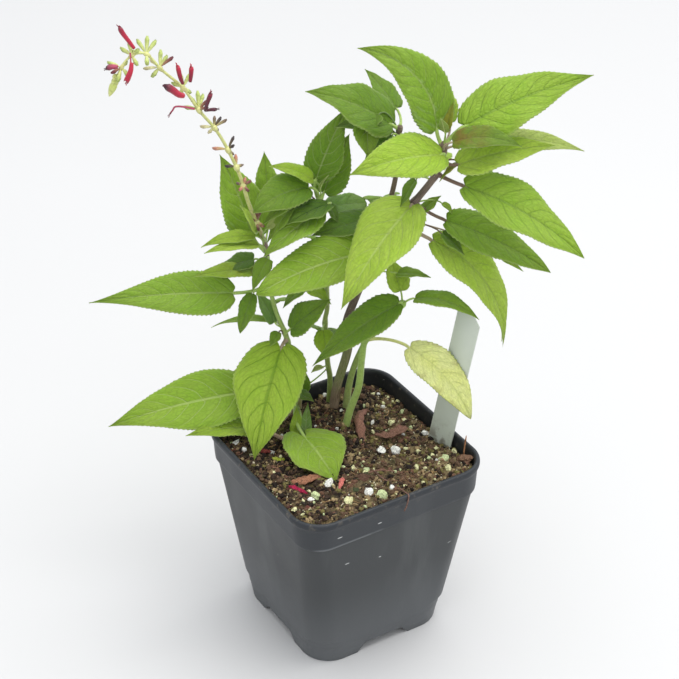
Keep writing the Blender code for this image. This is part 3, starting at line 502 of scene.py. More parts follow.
def pot_finish():
    """Charcoal moulded plastic with a faint grain, rubbed corners, dust and a few scuffs, and painted light and
    shade.
    """
    finish = Finish("charcoal_plastic")
    place = finish.place()
    grain = finish.grain(place, 1400.0, 2.0)
    patch = finish.grain(place, 26.0, 4.0)
    rub = finish.grain(finish.scaled(place, (60.0, 60.0, 9.0)), 1.0, 5.0)
    body = finish.mix(patch, (0.034, 0.037, 0.039), (0.044, 0.048, 0.050))
    body = finish.mix(finish.fade(rub, 0.50, 0.75, 0.0, 0.16), body, (0.17, 0.18, 0.18))
    _, front, level = finish.parts(place)
    # Painted light: the wall is painted lighter towards the foot, for the light the pale floor throws back onto
    # it.
    body = finish.mix(finish.fade(level, 0.056, 0.0, 0.0, 0.75), body, (0.106, 0.113, 0.119))
    inside_shade = finish.parts(finish.attribute("tone"))[0]
    body = finish.mix(finish.fade(level, 0.0797, 0.0804, 0.0, 0.45), body, (0.018, 0.022, 0.030))
    # Painted reflection: the lip is painted darker, standing in for the dark room mirrored in its top.
    body = finish.mix(finish.fade(level, 0.0915, 0.0935, 0.0, 0.60), body, (0.012, 0.015, 0.020))
    # Painted shade: the inside of the wall, which make_pot marks in the tone attribute, is painted near black.
    body = finish.mix(inside_shade * 0.75, body, (0.010, 0.011, 0.012))
    # Painted highlight, partly rubbed wear: a pale broken line along the lower edge of the band, on the front
    # face only.
    band_edge_highlight = finish.fade(level, 0.0800, 0.0806) * finish.fade(level, 0.0818, 0.0808)
    band_edge_highlight = band_edge_highlight * finish.fade(front, -0.044, -0.047)
    wear_and_highlight_patches = finish.fade(finish.grain(place, 46.0, 2.0), 0.50, 0.60)
    body = finish.mix(band_edge_highlight * wear_and_highlight_patches * 0.3, body, (0.30, 0.32, 0.33))
    scratch = finish.grain(finish.scaled(place, (150.0, 150.0, 420.0), (20.0, 15.0, 0.0)), 1.0, 3.0)
    body = finish.mix(finish.fade(scratch, 0.745, 0.78, 0.0, 0.6), body, (0.42, 0.43, 0.42))
    dust = finish.fade(level, 0.086, 0.096) * finish.fade(finish.grain(place, 300.0, 4.0), 0.55, 0.75)
    body = finish.mix(dust * 0.35, body, (0.20, 0.17, 0.13))
    for x, y, z, length, tilt in ((-32.0, -48.0, 86.0, 1.6, 50.0), (-11.0, -48.5, 85.5, 1.3, 60.0),
                                  (-26.0, -46.0, 66.0, 1.5, 50.0), (-8.0, -45.0, 62.0, 0.8, 10.0)):
        near = finish.node("VectorMath", {"operation": "SUBTRACT"}, {0: place, 1: (x * MM, y * MM, z * MM)})
        near = finish.scaled(near, (1 / length, 0.2, 1 / 0.35), (0.0, tilt, 0.0))
        spot = finish.node("VectorMath", {"operation": "LENGTH"}, {0: near}, "Value")
        body = finish.mix(finish.fade(spot, 0.0010, 0.0006, 0.0, 0.75), body, (0.62, 0.63, 0.62))
    roughness = finish.fade(patch, 0.2, 0.8, 0.40, 0.52)
    return finish.surface(body, roughness, finish.bump(grain + rub * 0.6, 0.00006), Specular_IOR_Level=0.36)


def soil_finish():
    """Bark and coir mix: hollows painted near black as shade, brown and olive lumps, darker patches, cream and
    rust grains, lighter towards +x and -y.
    """
    finish = Finish("potting_mix")
    place = finish.place()
    lumps = finish.grain(place, 190.0, 6.0, 0.7)
    fine = finish.grain(place, 1100.0, 5.0, 0.7)
    # The ramp gives the mix its browns and also paints light: the low places of the lumps go near black as
    # painted shade in the hollows, and the lumps lighter as painted light on them.
    body = finish.ramp(lumps, ((0.34, srgb(18, 14, 12)), (0.45, srgb(48, 38, 29)), (0.54, srgb(92, 74, 54)),
                               (0.64, srgb(136, 120, 82)), (0.80, srgb(64, 52, 38))))
    tint = finish.cells(place, 520.0, "F1", "Color")
    body = finish.mix(0.16, body, tint, "SOFT_LIGHT")
    body = finish.mix(finish.fade(fine, 0.5, 0.66, 0.0, 0.7), body, srgb(168, 148, 108))
    mossy = finish.fade(finish.grain(place, 60.0, 2.0), 0.55, 0.7, 0.0, 0.4)
    body = finish.mix(mossy, body, srgb(80, 76, 42))
    # Larger patches of the soil are made darker.
    dark_patches = finish.fade(finish.grain(place, 42.0, 2.0), 0.52, 0.36, 0.0, 0.6)
    body = finish.mix(dark_patches, body, srgb(30, 22, 18))
    # The lumps are painted lighter towards +x and -y.
    x_minus_y = finish.parts(finish.scaled(place, (1.0, 1.0, 1.0), (0.0, 0.0, 45.0)))[0]
    dry = finish.fade(x_minus_y, -0.005, 0.045, 0.0, 0.55) * finish.fade(lumps, 0.40, 0.52)
    body = finish.mix(dry, body, srgb(160, 142, 104))
    grains = finish.fade(finish.cells(place, 760.0), 0.26, 0.14)
    chosen = finish.fade(finish.parts(tint)[0], 0.80, 0.86)
    body = finish.mix(grains * chosen, body, srgb(206, 196, 156))
    normal = finish.bump(lumps + fine * 0.5 + grains * 0.3, 0.0016)
    return finish.surface(body, 0.88, normal, Specular_IOR_Level=0.25)


def litter_finish():
    """Loose bits on the soil: each in its own tone, dusty and uneven."""
    finish = Finish("loose_litter")
    place = finish.place()
    tone = finish.attribute("tone", "Color")
    fine = finish.grain(place, 1300.0, 4.0, 0.65)
    body = finish.mix(finish.fade(fine, 0.36, 0.56, 0.5, 0.0), tone, (0.020, 0.012, 0.008))
    body = finish.mix(finish.fade(fine, 0.58, 0.78, 0.0, 0.3), body, (0.55, 0.50, 0.40))
    return finish.surface(body, 0.85, finish.bump(fine, 0.0005), Specular_IOR_Level=0.25)


def label_finish():
    """Cloudy grey plastic, a little dirty near the soil."""
    finish = Finish("label_plastic_cloudy")
    place = finish.place()
    cloud = finish.grain(place, 70.0, 3.0)
    fine = finish.grain(place, 900.0, 3.0)
    body = finish.mix(cloud, srgb(198, 206, 192), srgb(212, 218, 206))
    _, _, level = finish.parts(place)
    dirt = finish.fade(level, 0.106, 0.089) * finish.fade(finish.grain(place, 260.0, 4.0), 0.45, 0.62)
    body = finish.mix(dirt * 0.7, body, srgb(96, 78, 58))
    return finish.surface(body, 0.38, finish.bump(fine, 0.00003), srgb(196, 204, 190), 0.22)


def floor_finish():
    """An even, pale, matt sheet."""
    finish = Finish("pale_floor")
    cloud = finish.grain(finish.place(), 3.0, 2.0)
    return finish.surface(finish.mix(cloud, (0.540, 0.540, 0.540), (0.555, 0.555, 0.555)), 0.6)


TOP = leaf_finish("leaf_top", False)
UNDER = leaf_finish("leaf_underside", True)
STALK = tissue_finish("stalk_tissue", 0.5)
CUP = tissue_finish("cup_tissue", 0.55)
PETAL = tissue_finish("petal_tissue", 0.42)
BARK = bark_finish("stem_bark")
PLASTIC = pot_finish()
SOIL = soil_finish()
LITTER = litter_finish()
LABEL = label_finish()


# ---- mesh work

def unit(vector):
    return vector / np.linalg.norm(vector)


def new_mesh():
    """An empty bmesh with the layers that the finishes read."""
    bm = bmesh.new()
    bm.verts.layers.float_vector.new("blade")
    bm.verts.layers.float_vector.new("marks")
    bm.verts.layers.float_color.new("tone")
    return bm


def paint(bm, vert, tone, blade=(0.0, 0.0, 0.0), marks=(0.0, 0.0, 0.0)):
    layers = bm.verts.layers
    vert[layers.float_vector["blade"]] = blade
    vert[layers.float_vector["marks"]] = marks
    vert[layers.float_color["tone"]] = (*tone, 1.0)


def finish_piece(name, bm, materials, replaced=(), smooth=True, crease=None):
    """Turns a bmesh into a piece that rides with the plant."""
    data = bpy.data.meshes.new(name)
    for face in bm.faces:
        face.smooth = smooth
    bm.to_mesh(data)
    bm.free()
    if crease is not None:
        data.set_sharp_from_angle(angle=math.radians(crease))
    for item in materials:
        data.materials.append(item)
    piece = bpy.data.objects.new(name, data)
    bpy.context.scene.collection.objects.link(piece)
    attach(piece, "root")
    if replaced:
        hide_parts(*replaced)


def tube_grid(bm, sides, rows, caps=True):
    """A straight tube, its sides a multiple of four, and for each point the row and side it is on."""
    start = len(bm.verts)
    first = bmesh.ops.create_cone(
        bm, cap_ends=True, segments=sides, radius1=1.0, radius2=1.0, depth=2.0)["verts"]
    walls = [edge for vert in first for edge in vert.link_edges
             if edge.verts[0] == vert and abs(edge.verts[0].co.z - edge.verts[1].co.z) > 1.0]
    if rows > 2:
        bmesh.ops.subdivide_edges(bm, edges=walls, cuts=rows - 2, use_grid_fill=False)
    if not caps:
        ends = [face for face in bm.faces if len(face.verts) == sides]
        bmesh.ops.delete(bm, geom=ends, context="FACES_ONLY")
    bm.verts.ensure_lookup_table()
    points = []
    for vert in bm.verts[start:]:
        row = round((vert.co.z + 1.0) / 2.0 * (rows - 1))
        side = round(math.atan2(vert.co.y, vert.co.x) / (2.0 * math.pi) * sides) % sides
        points.append((vert, row, side))
    return points


def smooth_route(points, steps):
    """A smooth curve through the points of a route."""
    route = np.array(points, float)
    route = np.vstack([2 * route[0] - route[1], route, 2 * route[-1] - route[-2]])
    out = []
    for i in range(1, len(route) - 2):
        a, b, c, d = route[i - 1:i + 3]
        for t in np.arange(steps) / steps:
            out.append(0.5 * (2 * b + (c - a) * t + (2 * a - 5 * b + 4 * c - d) * t * t
                              + (3 * b - a - 3 * c + d) * t ** 3))
    out.append(route[-2])
    return np.array(out)


def sweep(bm, points, radii, sides, tones, square=0.0, material=0, mouth=0.0, lip=0.0):
    """A tube along a curve. A square share gives it four corners; a mouth opens its far end."""
    points = np.asarray(points, float)
    tangents = np.gradient(points, axis=0)
    tangents /= np.linalg.norm(tangents, axis=1)[:, None]
    reference = np.array((0.0, 0.0, 1.0)) if abs(tangents[0][2]) < 0.9 else np.array((1.0, 0.0, 0.0))
    side_axes, side_axis = [], np.cross(tangents[0], reference)
    for tangent in tangents:
        side_axis = unit(side_axis - tangent * np.dot(side_axis, tangent))
        side_axes.append(side_axis)
    lengths = np.concatenate([[0.0], np.cumsum(np.linalg.norm(np.diff(points, axis=0), axis=1))])
    last = len(points) - 1
    faces_before = len(bm.faces)
    grid = tube_grid(bm, sides, len(points))
    for vert, row, side in grid:
        angle = 2.0 * math.pi * side / sides
        radius = radii[row] * (1.0 + square * math.cos(4.0 * angle))
        other = np.cross(tangents[row], side_axes[row])
        place = points[row] + (side_axes[row] * math.cos(angle) + other * math.sin(angle)) * radius
        if lip and row == last:
            place = place + tangents[row] * lip * math.cos(2.0 * angle)
        vert.co = Vector(place) * MM
        paint(bm, vert, tones[row], (math.cos(angle), lengths[row] / 10.0, 0.0))
    bm.faces.ensure_lookup_table()
    made = bm.faces[faces_before:]
    for face in made:
        face.material_index = material
    if mouth:
        ends = {vert for vert, row, side in grid if row == last}
        cap = [face for face in made if len(face.verts) == sides and all(vert in ends for vert in face.verts)]
        bmesh.ops.inset_region(bm, faces=cap, thickness=radii[last] * 0.22 * MM, use_even_offset=False)
        bmesh.ops.translate(bm, vec=Vector(-tangents[last] * mouth) * MM, verts=cap[0].verts)
    return grid


def blend_tones(first, second, count, power=1.0):
    share = np.linspace(0.0, 1.0, count)[:, None] ** power
    return np.array(first) * (1 - share) + np.array(second) * share


# ---- pot

def body_half_width(height):
    return FOOT_HALF_WIDTH + BODY_FLARE * height


def rounded_square(half_width, radius, side, sides):
    """One of the evenly numbered points round a level outline, as many in a corner as on a wall."""
    quarter, step = divmod(side, sides // 4)
    corner_steps = sides // 8
    flat = half_width - radius
    if step <= corner_steps:
        angle = math.pi / 2 * step / corner_steps
        x, y = flat + radius * math.cos(angle), flat + radius * math.sin(angle)
    else:
        run = (step - corner_steps) / (sides // 4 - corner_steps)
        x, y = flat * (1.0 - 2.0 * run), half_width
    for _ in range(quarter):
        x, y = -y, x
    return x, y


def arch_lift(x, y):
    """How far the foot of the wall is cut away at this place."""
    along_wall = min(abs(x), abs(y))
    return ARCH_HEIGHT * min(max((ARCH_HALF_WIDTH + ARCH_SLOPE - along_wall) / ARCH_SLOPE, 0.0), 1.0)


def make_pot():
    """The moulded shell: its outside from the foot up to the lip, then its inside back down."""
    body, lip = body_half_width, LIP_HALF_WIDTH
    # Each level outline: its height, its half width and the radius of its corners.
    outside = [
        (0.0, body(0) - WALL + 0.1, FOOT_CORNER - WALL), (0.0, body(0) - 0.3, FOOT_CORNER),
        (0.3, body(0), FOOT_CORNER),
        (5.4, body(5.4), FOOT_CORNER), (9.0, body(9), FOOT_CORNER), (9.3, body(9.3) + 0.12, FOOT_CORNER),
        (12.4, body(12.4), FOOT_CORNER), (13.2, body(13.2), FOOT_CORNER - 0.4), (14.2, body(14.2), 12.4),
        (15.0, body(15), BODY_CORNER), (16.5, body(16.5), BODY_CORNER), (48.0, body(48), BODY_CORNER),
        (78.8, body(78.8), BODY_CORNER), (79.8, body(79.8), BODY_CORNER),
        (80.0, body(80) + 0.3, BODY_CORNER + 0.3),
        (80.2, body(80.2) + 0.85, BODY_CORNER + 0.9), (80.6, body(80.6) + 1.0, BODY_CORNER + 1.0),
        (81.8, body(81.8) + 1.0, BODY_CORNER + 1.2), (90.8, body(90.8) + 0.75, LIP_CORNER - 0.8),
        (92.0, body(92) + 0.75, LIP_CORNER - 0.6), (92.6, lip - 0.45, LIP_CORNER - 0.4),
        (93.1, lip - 0.1, LIP_CORNER),
        (93.8, lip, LIP_CORNER), (94.8, lip, LIP_CORNER), (95.5, lip - 0.2, LIP_CORNER - 0.2),
        (96.0, lip - 0.8, LIP_CORNER - 0.8),
    ]
    inside = [
        (96.0, lip - 1.5, LIP_CORNER - 1.5), (95.7, lip - 2.0, LIP_CORNER - 2.0),
        (94.8, body(94.8) - WALL, LIP_CORNER - 2.2),
        (93.0, body(93) - WALL, LIP_CORNER - 2.6), (80.0, body(80) - WALL, BODY_CORNER - WALL),
        (16.5, body(16.5) - WALL, BODY_CORNER - WALL), (14.0, body(14) - WALL, FOOT_CORNER - WALL),
        (5.4, body(5.4) - WALL, FOOT_CORNER - WALL),
    ]
    levels = outside + inside
    levels.append(levels[0])
    bm = new_mesh()
    for vert, row, side in tube_grid(bm, POT_SIDES, len(levels), caps=False):
        height, half_width, radius = levels[row]
        x, y = rounded_square(half_width, radius, side, POT_SIDES)
        lift = arch_lift(x, y) if height < 1.0 else 0.0
        vert.co = Vector((x, y, height + lift)) * MM
        shaded = 1.0 if row > len(outside) else 0.0
        paint(bm, vert, (shaded, shaded, shaded))
    bmesh.ops.remove_doubles(bm, verts=bm.verts, dist=0.00001)
    bmesh.ops.recalc_face_normals(bm, faces=bm.faces)
    add_pot_floor(bm)
    finish_piece("pot_shell", bm, [PLASTIC], ["pot"], crease=42)


def add_pot_floor(bm):
    """The raised floor: a ring of faces round each of its four drain holes, then its thickness."""
    edge = body_half_width(FLOOR_UNDERSIDE) - 0.5
    plate = bmesh.new()
    bmesh.ops.create_circle(plate, cap_ends=False, segments=DRAIN_SIDES, radius=DRAIN_RADIUS)
    outer = bmesh.ops.extrude_edge_only(plate, edges=plate.edges[:])["geom"]
    outer = [item for item in outer if isinstance(item, bmesh.types.BMVert)]
    near, far = -DRAIN_OFFSET, edge - DRAIN_OFFSET
    for vert in outer:
        direction = vert.co.normalized()
        reaches = [(far if part > 0 else near) / part for part in direction[:2] if abs(part) > 1e-6]
        vert.co = direction * min(reaches)
    for corner in ((near, near), (near, far), (far, near)):
        nearest = min(outer, key=lambda vert: (vert.co - Vector((*corner, 0))).length)
        nearest.co = Vector((*corner, 0))
    for vert in outer:
        limit = far - FOOT_CORNER
        if vert.co.x > limit and vert.co.y > limit:
            centre = Vector((limit, limit, 0))
            vert.co = centre + (vert.co - centre).normalized() * FOOT_CORNER
    bmesh.ops.translate(plate, vec=(DRAIN_OFFSET, DRAIN_OFFSET, FLOOR_UNDERSIDE), verts=plate.verts)
    bmesh.ops.mirror(plate, geom=plate.verts[:] + plate.edges[:] + plate.faces[:], axis="X", merge_dist=0.001)
    bmesh.ops.mirror(plate, geom=plate.verts[:] + plate.edges[:] + plate.faces[:], axis="Y", merge_dist=0.001)
    bmesh.ops.recalc_face_normals(plate, faces=plate.faces)
    if plate.faces[0].normal.z < 0:
        bmesh.ops.reverse_faces(plate, faces=plate.faces)
    bmesh.ops.solidify(plate, geom=plate.faces[:], thickness=-WALL)
    bmesh.ops.scale(plate, vec=(MM, MM, MM), verts=plate.verts)
    bmesh.ops.recalc_face_normals(plate, faces=plate.faces)
    made = bpy.data.meshes.new("pot_floor")
    plate.to_mesh(made)
    plate.free()
    bm.from_mesh(made)
    bpy.data.meshes.remove(made)


# ---- soil and what lies on it

def soil_height(x, y):
    return SOIL_LEVEL - SOIL_FALL * (x + y)


def soil_surface(x, y):
    """Height of the lumpy soil: it dips at the pot's wall and heaps up round the stems."""
    rim = SOIL_HALF_WIDTH - max(abs(x), abs(y))
    height = soil_height(x, y) + 0.3 - 1.4 * math.exp(-rim / 2.5)
    height += 1.5 * noise.noise((x / 13, y / 13, 0.4)) + 1.7 * noise.noise((x / 5, y / 5, 2.0))
    height += 0.75 * noise.noise((x / 1.9, y / 1.9, 5.0)) + 0.3 * noise.noise((x / 0.9, y / 0.9, 7.0))
    height += 1.6 * math.exp(-((x - 12) ** 2 + (y - 30) ** 2) / 220)
    return min(height, POT_HEIGHT - 0.8)


def in_soil(x, y, margin=1.0):
    limit = SOIL_HALF_WIDTH - margin
    flat = limit - SOIL_CORNER
    corner = math.hypot(max(abs(x) - flat, 0.0), max(abs(y) - flat, 0.0))
    return max(abs(x), abs(y)) < limit and corner < SOIL_CORNER


def make_soil():
    """The block of mix: a lumpy top, drawn round at its corners, and walls down to the pot's floor."""
    bm = new_mesh()
    bmesh.ops.create_grid(bm, x_segments=SOIL_CELLS, y_segments=SOIL_CELLS, size=1.0)
    flat = 1.0 - SOIL_CORNER / SOIL_HALF_WIDTH
    round_edge = 1.0 - flat
    border = [edge for edge in bm.edges if edge.is_boundary]
    for vert in bm.verts:
        x, y = vert.co.x, vert.co.y
        reach = max(abs(x), abs(y))
        if reach > 1e-6:
            across, along = x / reach, y / reach
            low = min(abs(across), abs(along))
            if low > flat:
                run = (1.0 + low) * flat
                square = 1.0 + low * low
                shrink = (run + math.sqrt(run * run - square * (2 * flat * flat - round_edge ** 2))) / square
                x, y = x * shrink, y * shrink
        x, y = x * SOIL_HALF_WIDTH, y * SOIL_HALF_WIDTH
        vert.co = Vector((x, y, soil_surface(x, y))) * MM
    lower = border
    for height in (80.0, 17.0, 13.0, FLOOR_UNDERSIDE + WALL + 0.3):
        grown = bmesh.ops.extrude_edge_only(bm, edges=lower)["geom"]
        lower = [item for item in grown if isinstance(item, bmesh.types.BMEdge)
                 and all(vert.is_boundary for vert in item.verts)]
        rows = [item for item in grown if isinstance(item, bmesh.types.BMVert)]
        widest = max(max(abs(vert.co.x), abs(vert.co.y)) for vert in rows)
        squeeze = (body_half_width(height) - WALL - 0.4) * MM / widest
        for vert in rows:
            vert.co = Vector((vert.co.x * squeeze, vert.co.y * squeeze, height * MM))
    bmesh.ops.contextual_create(bm, geom=lower)
    bmesh.ops.recalc_face_normals(bm, faces=bm.faces)
    finish_piece("soil_bed", bm, [SOIL], ["soil"])


def scatter(bm, dice, lumps, rounds=1):
    """Broken lumps pressed into the soil, each (x, y, size, tone, lift, flatness)."""
    start = len(bm.verts)
    bmesh.ops.create_icosphere(bm, subdivisions=rounds, radius=1.0)
    bm.verts.ensure_lookup_table()
    each = len(bm.verts) - start
    while len(bm.verts) - start < each * len(lumps):
        grown = bm.verts[start:]
        edges = list(dict.fromkeys(edge for vert in grown for edge in vert.link_edges))
        faces = list(dict.fromkeys(face for vert in grown for face in vert.link_faces))
        bmesh.ops.duplicate(bm, geom=grown + edges + faces)
        bm.verts.ensure_lookup_table()
    bmesh.ops.delete(bm, geom=bm.verts[start + each * len(lumps):], context="VERTS")
    bm.verts.ensure_lookup_table()
    for number, (x, y, size, tone, lift, flat) in enumerate(lumps):
        axis = Vector((dice.uniform(-flat, flat), dice.uniform(-flat, flat), 1.0)).normalized()
        turn = Matrix.Rotation(dice.uniform(0, 6.3), 3, axis)
        shape = Vector((dice.uniform(0.7, 1.2), dice.uniform(0.6, 1.0), dice.uniform(flat - 0.2, flat + 0.2)))
        centre = Vector((x, y, soil_surface(x, y) + size * lift))
        for vert in bm.verts[start + each * number:start + each * (number + 1)]:
            bulge = 1.0 + 0.55 * noise.noise(vert.co * 1.9 + centre)
            vert.co = (turn @ (vert.co * shape) * size * bulge + centre) * MM
            paint(bm, vert, tone)


def soil_spots(dice, count, margin):
    """Places on the soil, clear of the pot's wall."""
    spots = [(dice.uniform(-46, 46), dice.uniform(-46, 46)) for _ in range(count)]
    return [spot for spot in spots if in_soil(*spot, margin)]


def make_crumbs():
    dice = random.Random(11)
    tones = ((srgb(32, 24, 20), 32), (srgb(60, 45, 35), 26), (srgb(98, 76, 58), 16), (srgb(116, 84, 66), 5),
             (srgb(116, 108, 62), 9), (srgb(164, 142, 104), 7), (srgb(222, 212, 182), 5))
    shades = [shade for shade, share in tones for _ in range(share)]
    lumps = []
    for x, y in soil_spots(dice, 5200, 0.6):
        pool = shades[50:] if x - y > 10 and dice.random() < 0.8 else shades
        tone = dice.choice(pool)
        size = dice.uniform(0.3, 0.6) if tone[0] > 0.5 else 0.32 + 1.35 * dice.random() ** 2.6
        lumps.append((x, y, size, tone, 0.25, 0.7))
    bm = new_mesh()
    scatter(bm, dice, lumps)
    finish_piece("soil_crumbs", bm, [LITTER], smooth=False)

    white, cream, moss = srgb(240, 240, 232), srgb(226, 224, 172), srgb(200, 212, 160)
    placed = ((14, -10, 1.7, white), (20, -13, 2.1, white), (0, -20, 1.5, moss), (-5, -16, 1.4, cream),
              (-21, -21, 1.9, white), (40, -8, 1.4, white), (39, 8, 1.3, cream), (31, 7, 1.4, cream),
              (36, -30, 1.9, moss), (30, -18, 1.2, cream), (38, -21, 1.0, cream), (20, -31, 1.3, cream),
              (-5, -41, 2.2, moss), (-21, -37, 2.2, cream), (-31, -26, 1.9, moss), (-35, -28, 1.2, white),
              (-45, -31, 1.3, cream), (-30, 15, 1.0, white), (-41, 30, 1.2, white), (-41, 22, 1.0, white),
              (1, -40, 1.5, white), (-9, -36, 1.6, white), (37, 24, 0.9, white), (43, 16, 1.2, moss),
              (20, 6, 1.2, cream), (33, -38, 1.3, cream), (44, -27, 1.1, cream), (16, 44, 1.1, white))
    bm = new_mesh()
    scatter(bm, dice, [(x, y, size * 1.25, tone, 0.45, 0.85) for x, y, size, tone in placed], 2)
    grains = [(x, y, 0.35 + 0.95 * dice.random() ** 2, dice.choice((white, cream, cream, moss)), 0.5, 0.85)
              for x, y in soil_spots(dice, 190, 1.0)]
    scatter(bm, dice, grains)
    finish_piece("perlite", bm, [LITTER], smooth=False)


def curled_scrap(bm, points, width, curl, tone):
    """A dry strip of leaf along a line, curled about its length and wavy at its edges."""
    route = smooth_route(points, 9)
    start = len(bm.faces)
    rows = len(route) - 1
    made = bmesh.ops.create_grid(bm, x_segments=10, y_segments=rows, size=1.0)["verts"]
    tangents = np.gradient(route, axis=0)
    for vert in made:
        row = round((vert.co.y + 1) / 2 * rows)
        share = row / rows
        side = unit(np.cross(tangents[row], (0.0, 0.0, 1.0)))
        half = width / 2 * max(math.sin(math.pi * min(0.04 + share * 0.94, 1.0)), 0.1) ** 0.6
        angle = -vert.co.x * curl
        ragged = 1.0 + 0.55 * noise.noise((share * 7, vert.co.x * 1.3, width))
        crumple = 0.9 * noise.noise((share * 9, vert.co.x * 1.7, width + 4.0))
        crumple += 0.5 * noise.noise((share * 26, vert.co.x * 4.0, width))
        place = (route[row] + side * math.sin(angle) / curl * half * ragged
                 + np.array((0, 0, 1.0)) * ((math.cos(angle) - 1) / curl * half * ragged + crumple))
        paint(bm, vert, tone)
        vert.co = Vector(place) * MM
    bm.faces.ensure_lookup_table()
    bmesh.ops.solidify(bm, geom=bm.faces[start:], thickness=SCRAP_THICKNESS * MM)
    bmesh.ops.recalc_face_normals(bm, faces=bm.faces)


# Dry scraps on the soil: points of their middle (x, y, lift), width, curl and shade.
SCRAPS = (
    (((19, 3, 1.2), (23, -3, 1.6), (29, -4, 2.2), (34, -2, 2.6)), 7.0, -1.1, (138, 102, 86)),
    (((27, 23, 1.0), (21, 19, 2.6), (16, 12, 3.4), (13, 5, 1.4), (10, -1, 0.8)), 6.4, 1.3, (142, 102, 86)),
    (((-35, -11, 1.2), (-29, -13, 1.8), (-19, -14, 1.2)), 6.0, 0.9, (156, 108, 82)),
    (((-38, -14, 1.0), (-36, -18, 1.6), (-33, -22, 1.0)), 3.6, 1.5, (158, 24, 66)),
    (((-14, -22, 1.4), (-16, -24, 1.8), (-20, -28, 1.0)), 2.8, 1.2, (212, 122, 112)),
    (((-35, 20, 1.0), (-33, 17, 1.4), (-31, 14, 0.8)), 3.2, 1.2, (142, 66, 60)),
    (((-34, 8, 1.0), (-31, 6, 1.5), (-29, 5, 1.0)), 3.2, 1.2, (156, 168, 60)),
)


def make_litter():
    """Dry scraps, bark chips and root fibres, one of them hanging over the rim."""
    dice = random.Random(5)
    bm = new_mesh()

    def on_soil(x, y, lift=0.0):
        return (x, y, soil_surface(x, y) + lift)

    for places, width, curl, tone in SCRAPS:
        curled_scrap(bm, [on_soil(*place) for place in places], width, curl, srgb(*tone))
    for vert in bm.verts:
        vert.co += Vector((0, 0, SCRAP_LIFT)) * MM
    finish_piece("dry_leaves", bm, [LITTER])

    bm = new_mesh()
    large = [(43.4, -36, 2.9, srgb(122, 92, 72), 0.35, 0.4), (-5, -25, 2.6, srgb(92, 66, 52), 0.2, 0.45)]
    scatter(bm, dice, large, 3)
    chips = [(x, y, dice.uniform(1.1, 2.1), srgb(dice.randint(62, 104), dice.randint(50, 78), 48), 0.15, 0.35)
             for x, y in soil_spots(dice, 50, 2.0)]
    scatter(bm, dice, chips, 2)
    finish_piece("bark_chips", bm, [LITTER], smooth=False)

    bm = new_mesh()
    rim = POT_HEIGHT + 0.3
    brown = srgb(138, 102, 86)
    root = (on_soil(3, -20, 0.6), on_soil(2, -31, 1.4), (4, -40, 94.2),
            (4, -46.5, 95.2), (3.6, -48.8, rim), (3.0, -50.1, 95.4), (2.0, -50.3, 91.5), (0.8, -50.0, 88.4))
    fallen = [on_soil(x, y, 1.6) for x, y in ((-19.8, 17), (-22.6, 24.3), (-25.4, 32.6))]
    fibres = [(root, 0.34, srgb(126, 96, 84)), (fallen, 1.0, srgb(186, 160, 138)),
              (((45, -33, 90), (46, -32, 95), (47.5, -31, 101)), 0.4, srgb(158, 112, 78)),
              (((-2, -23, 93.4), (3, -25, 94.6), (9, -28, 93.6), (14, -32, 92.6)), 0.3, brown)]
    for _ in range(150):
        clump = dice.random() < 0.16
        if clump:
            x, y = 10 + dice.gauss(0, 4), -36 + dice.gauss(0, 3)
        else:
            x, y = dice.uniform(-45, 45), dice.uniform(-45, 45)
        heading, length = dice.uniform(0, 6.3), dice.uniform(3, 9)
        line = []
        for step in (-0.5, -0.2, 0.2, 0.5):
            px = x + length * step * math.cos(heading + step * 1.2)
            py = y + length * step * math.sin(heading + step * 1.2)
            arch = (0.9 if abs(step) < 0.4 else 0.0) * dice.random()
            line.append((px, py, soil_surface(px, py) + 0.5 + arch))
        if all(in_soil(px, py, 0.8) for px, py, _ in line):
            tone = srgb(140, 106, 80) if clump else dice.choice((brown, srgb(176, 140, 96), srgb(96, 70, 50)))
            fibres.append((line, dice.uniform(0.1, 0.2), tone))
    for line, radius, tone in fibres:
        points = smooth_route(line, 3 if len(line) < 6 else 5)
        radii = np.full(len(points), radius)
        radii[[0, -1]] *= 0.4
        sweep(bm, points, radii, FIBRE_SIDES, [tone] * len(points))
    finish_piece("fibres", bm, [LITTER])


# ---- label

def make_label():
    half, below, above = LABEL_WIDTH / 2, -LABEL_BURIED, LABEL_LENGTH - LABEL_BURIED
    outline = ((-half, below), (half, below), (half, above - LABEL_CLIP), (half - LABEL_CLIP, above),
               (-half + LABEL_SMALL_CLIP, above), (-half, above - LABEL_SMALL_CLIP))
    bm = new_mesh()
    face = bm.faces.new([bm.verts.new(Vector((x, -LABEL_THICKNESS / 2, z))) for x, z in outline])
    grown = bmesh.ops.extrude_face_region(bm, geom=[face])["geom"]
    moved = [item for item in grown if isinstance(item, bmesh.types.BMVert)]
    bmesh.ops.translate(bm, vec=(0, LABEL_THICKNESS, 0), verts=moved)
    bmesh.ops.recalc_face_normals(bm, faces=bm.faces)
    bmesh.ops.bevel(bm, geom=bm.edges[:], offset=LABEL_BEVEL, segments=2, profile=0.5, affect="EDGES",
                    material=-1)
    turn = [Matrix.Rotation(math.radians(angle), 4, axis)
            for angle, axis in ((LABEL_TURN, "Z"), (LABEL_LEAN, "Y"), (-LABEL_TILT, "X"))]
    place = Matrix.Translation(Vector((*LABEL_FOOT, soil_height(*LABEL_FOOT))) * MM)
    bmesh.ops.transform(bm, matrix=place @ turn[0] @ turn[1] @ turn[2] @ Matrix.Scale(MM, 4), verts=bm.verts)
    finish_piece("plant_label", bm, [LABEL], ["label"], crease=35)


# ---- stems

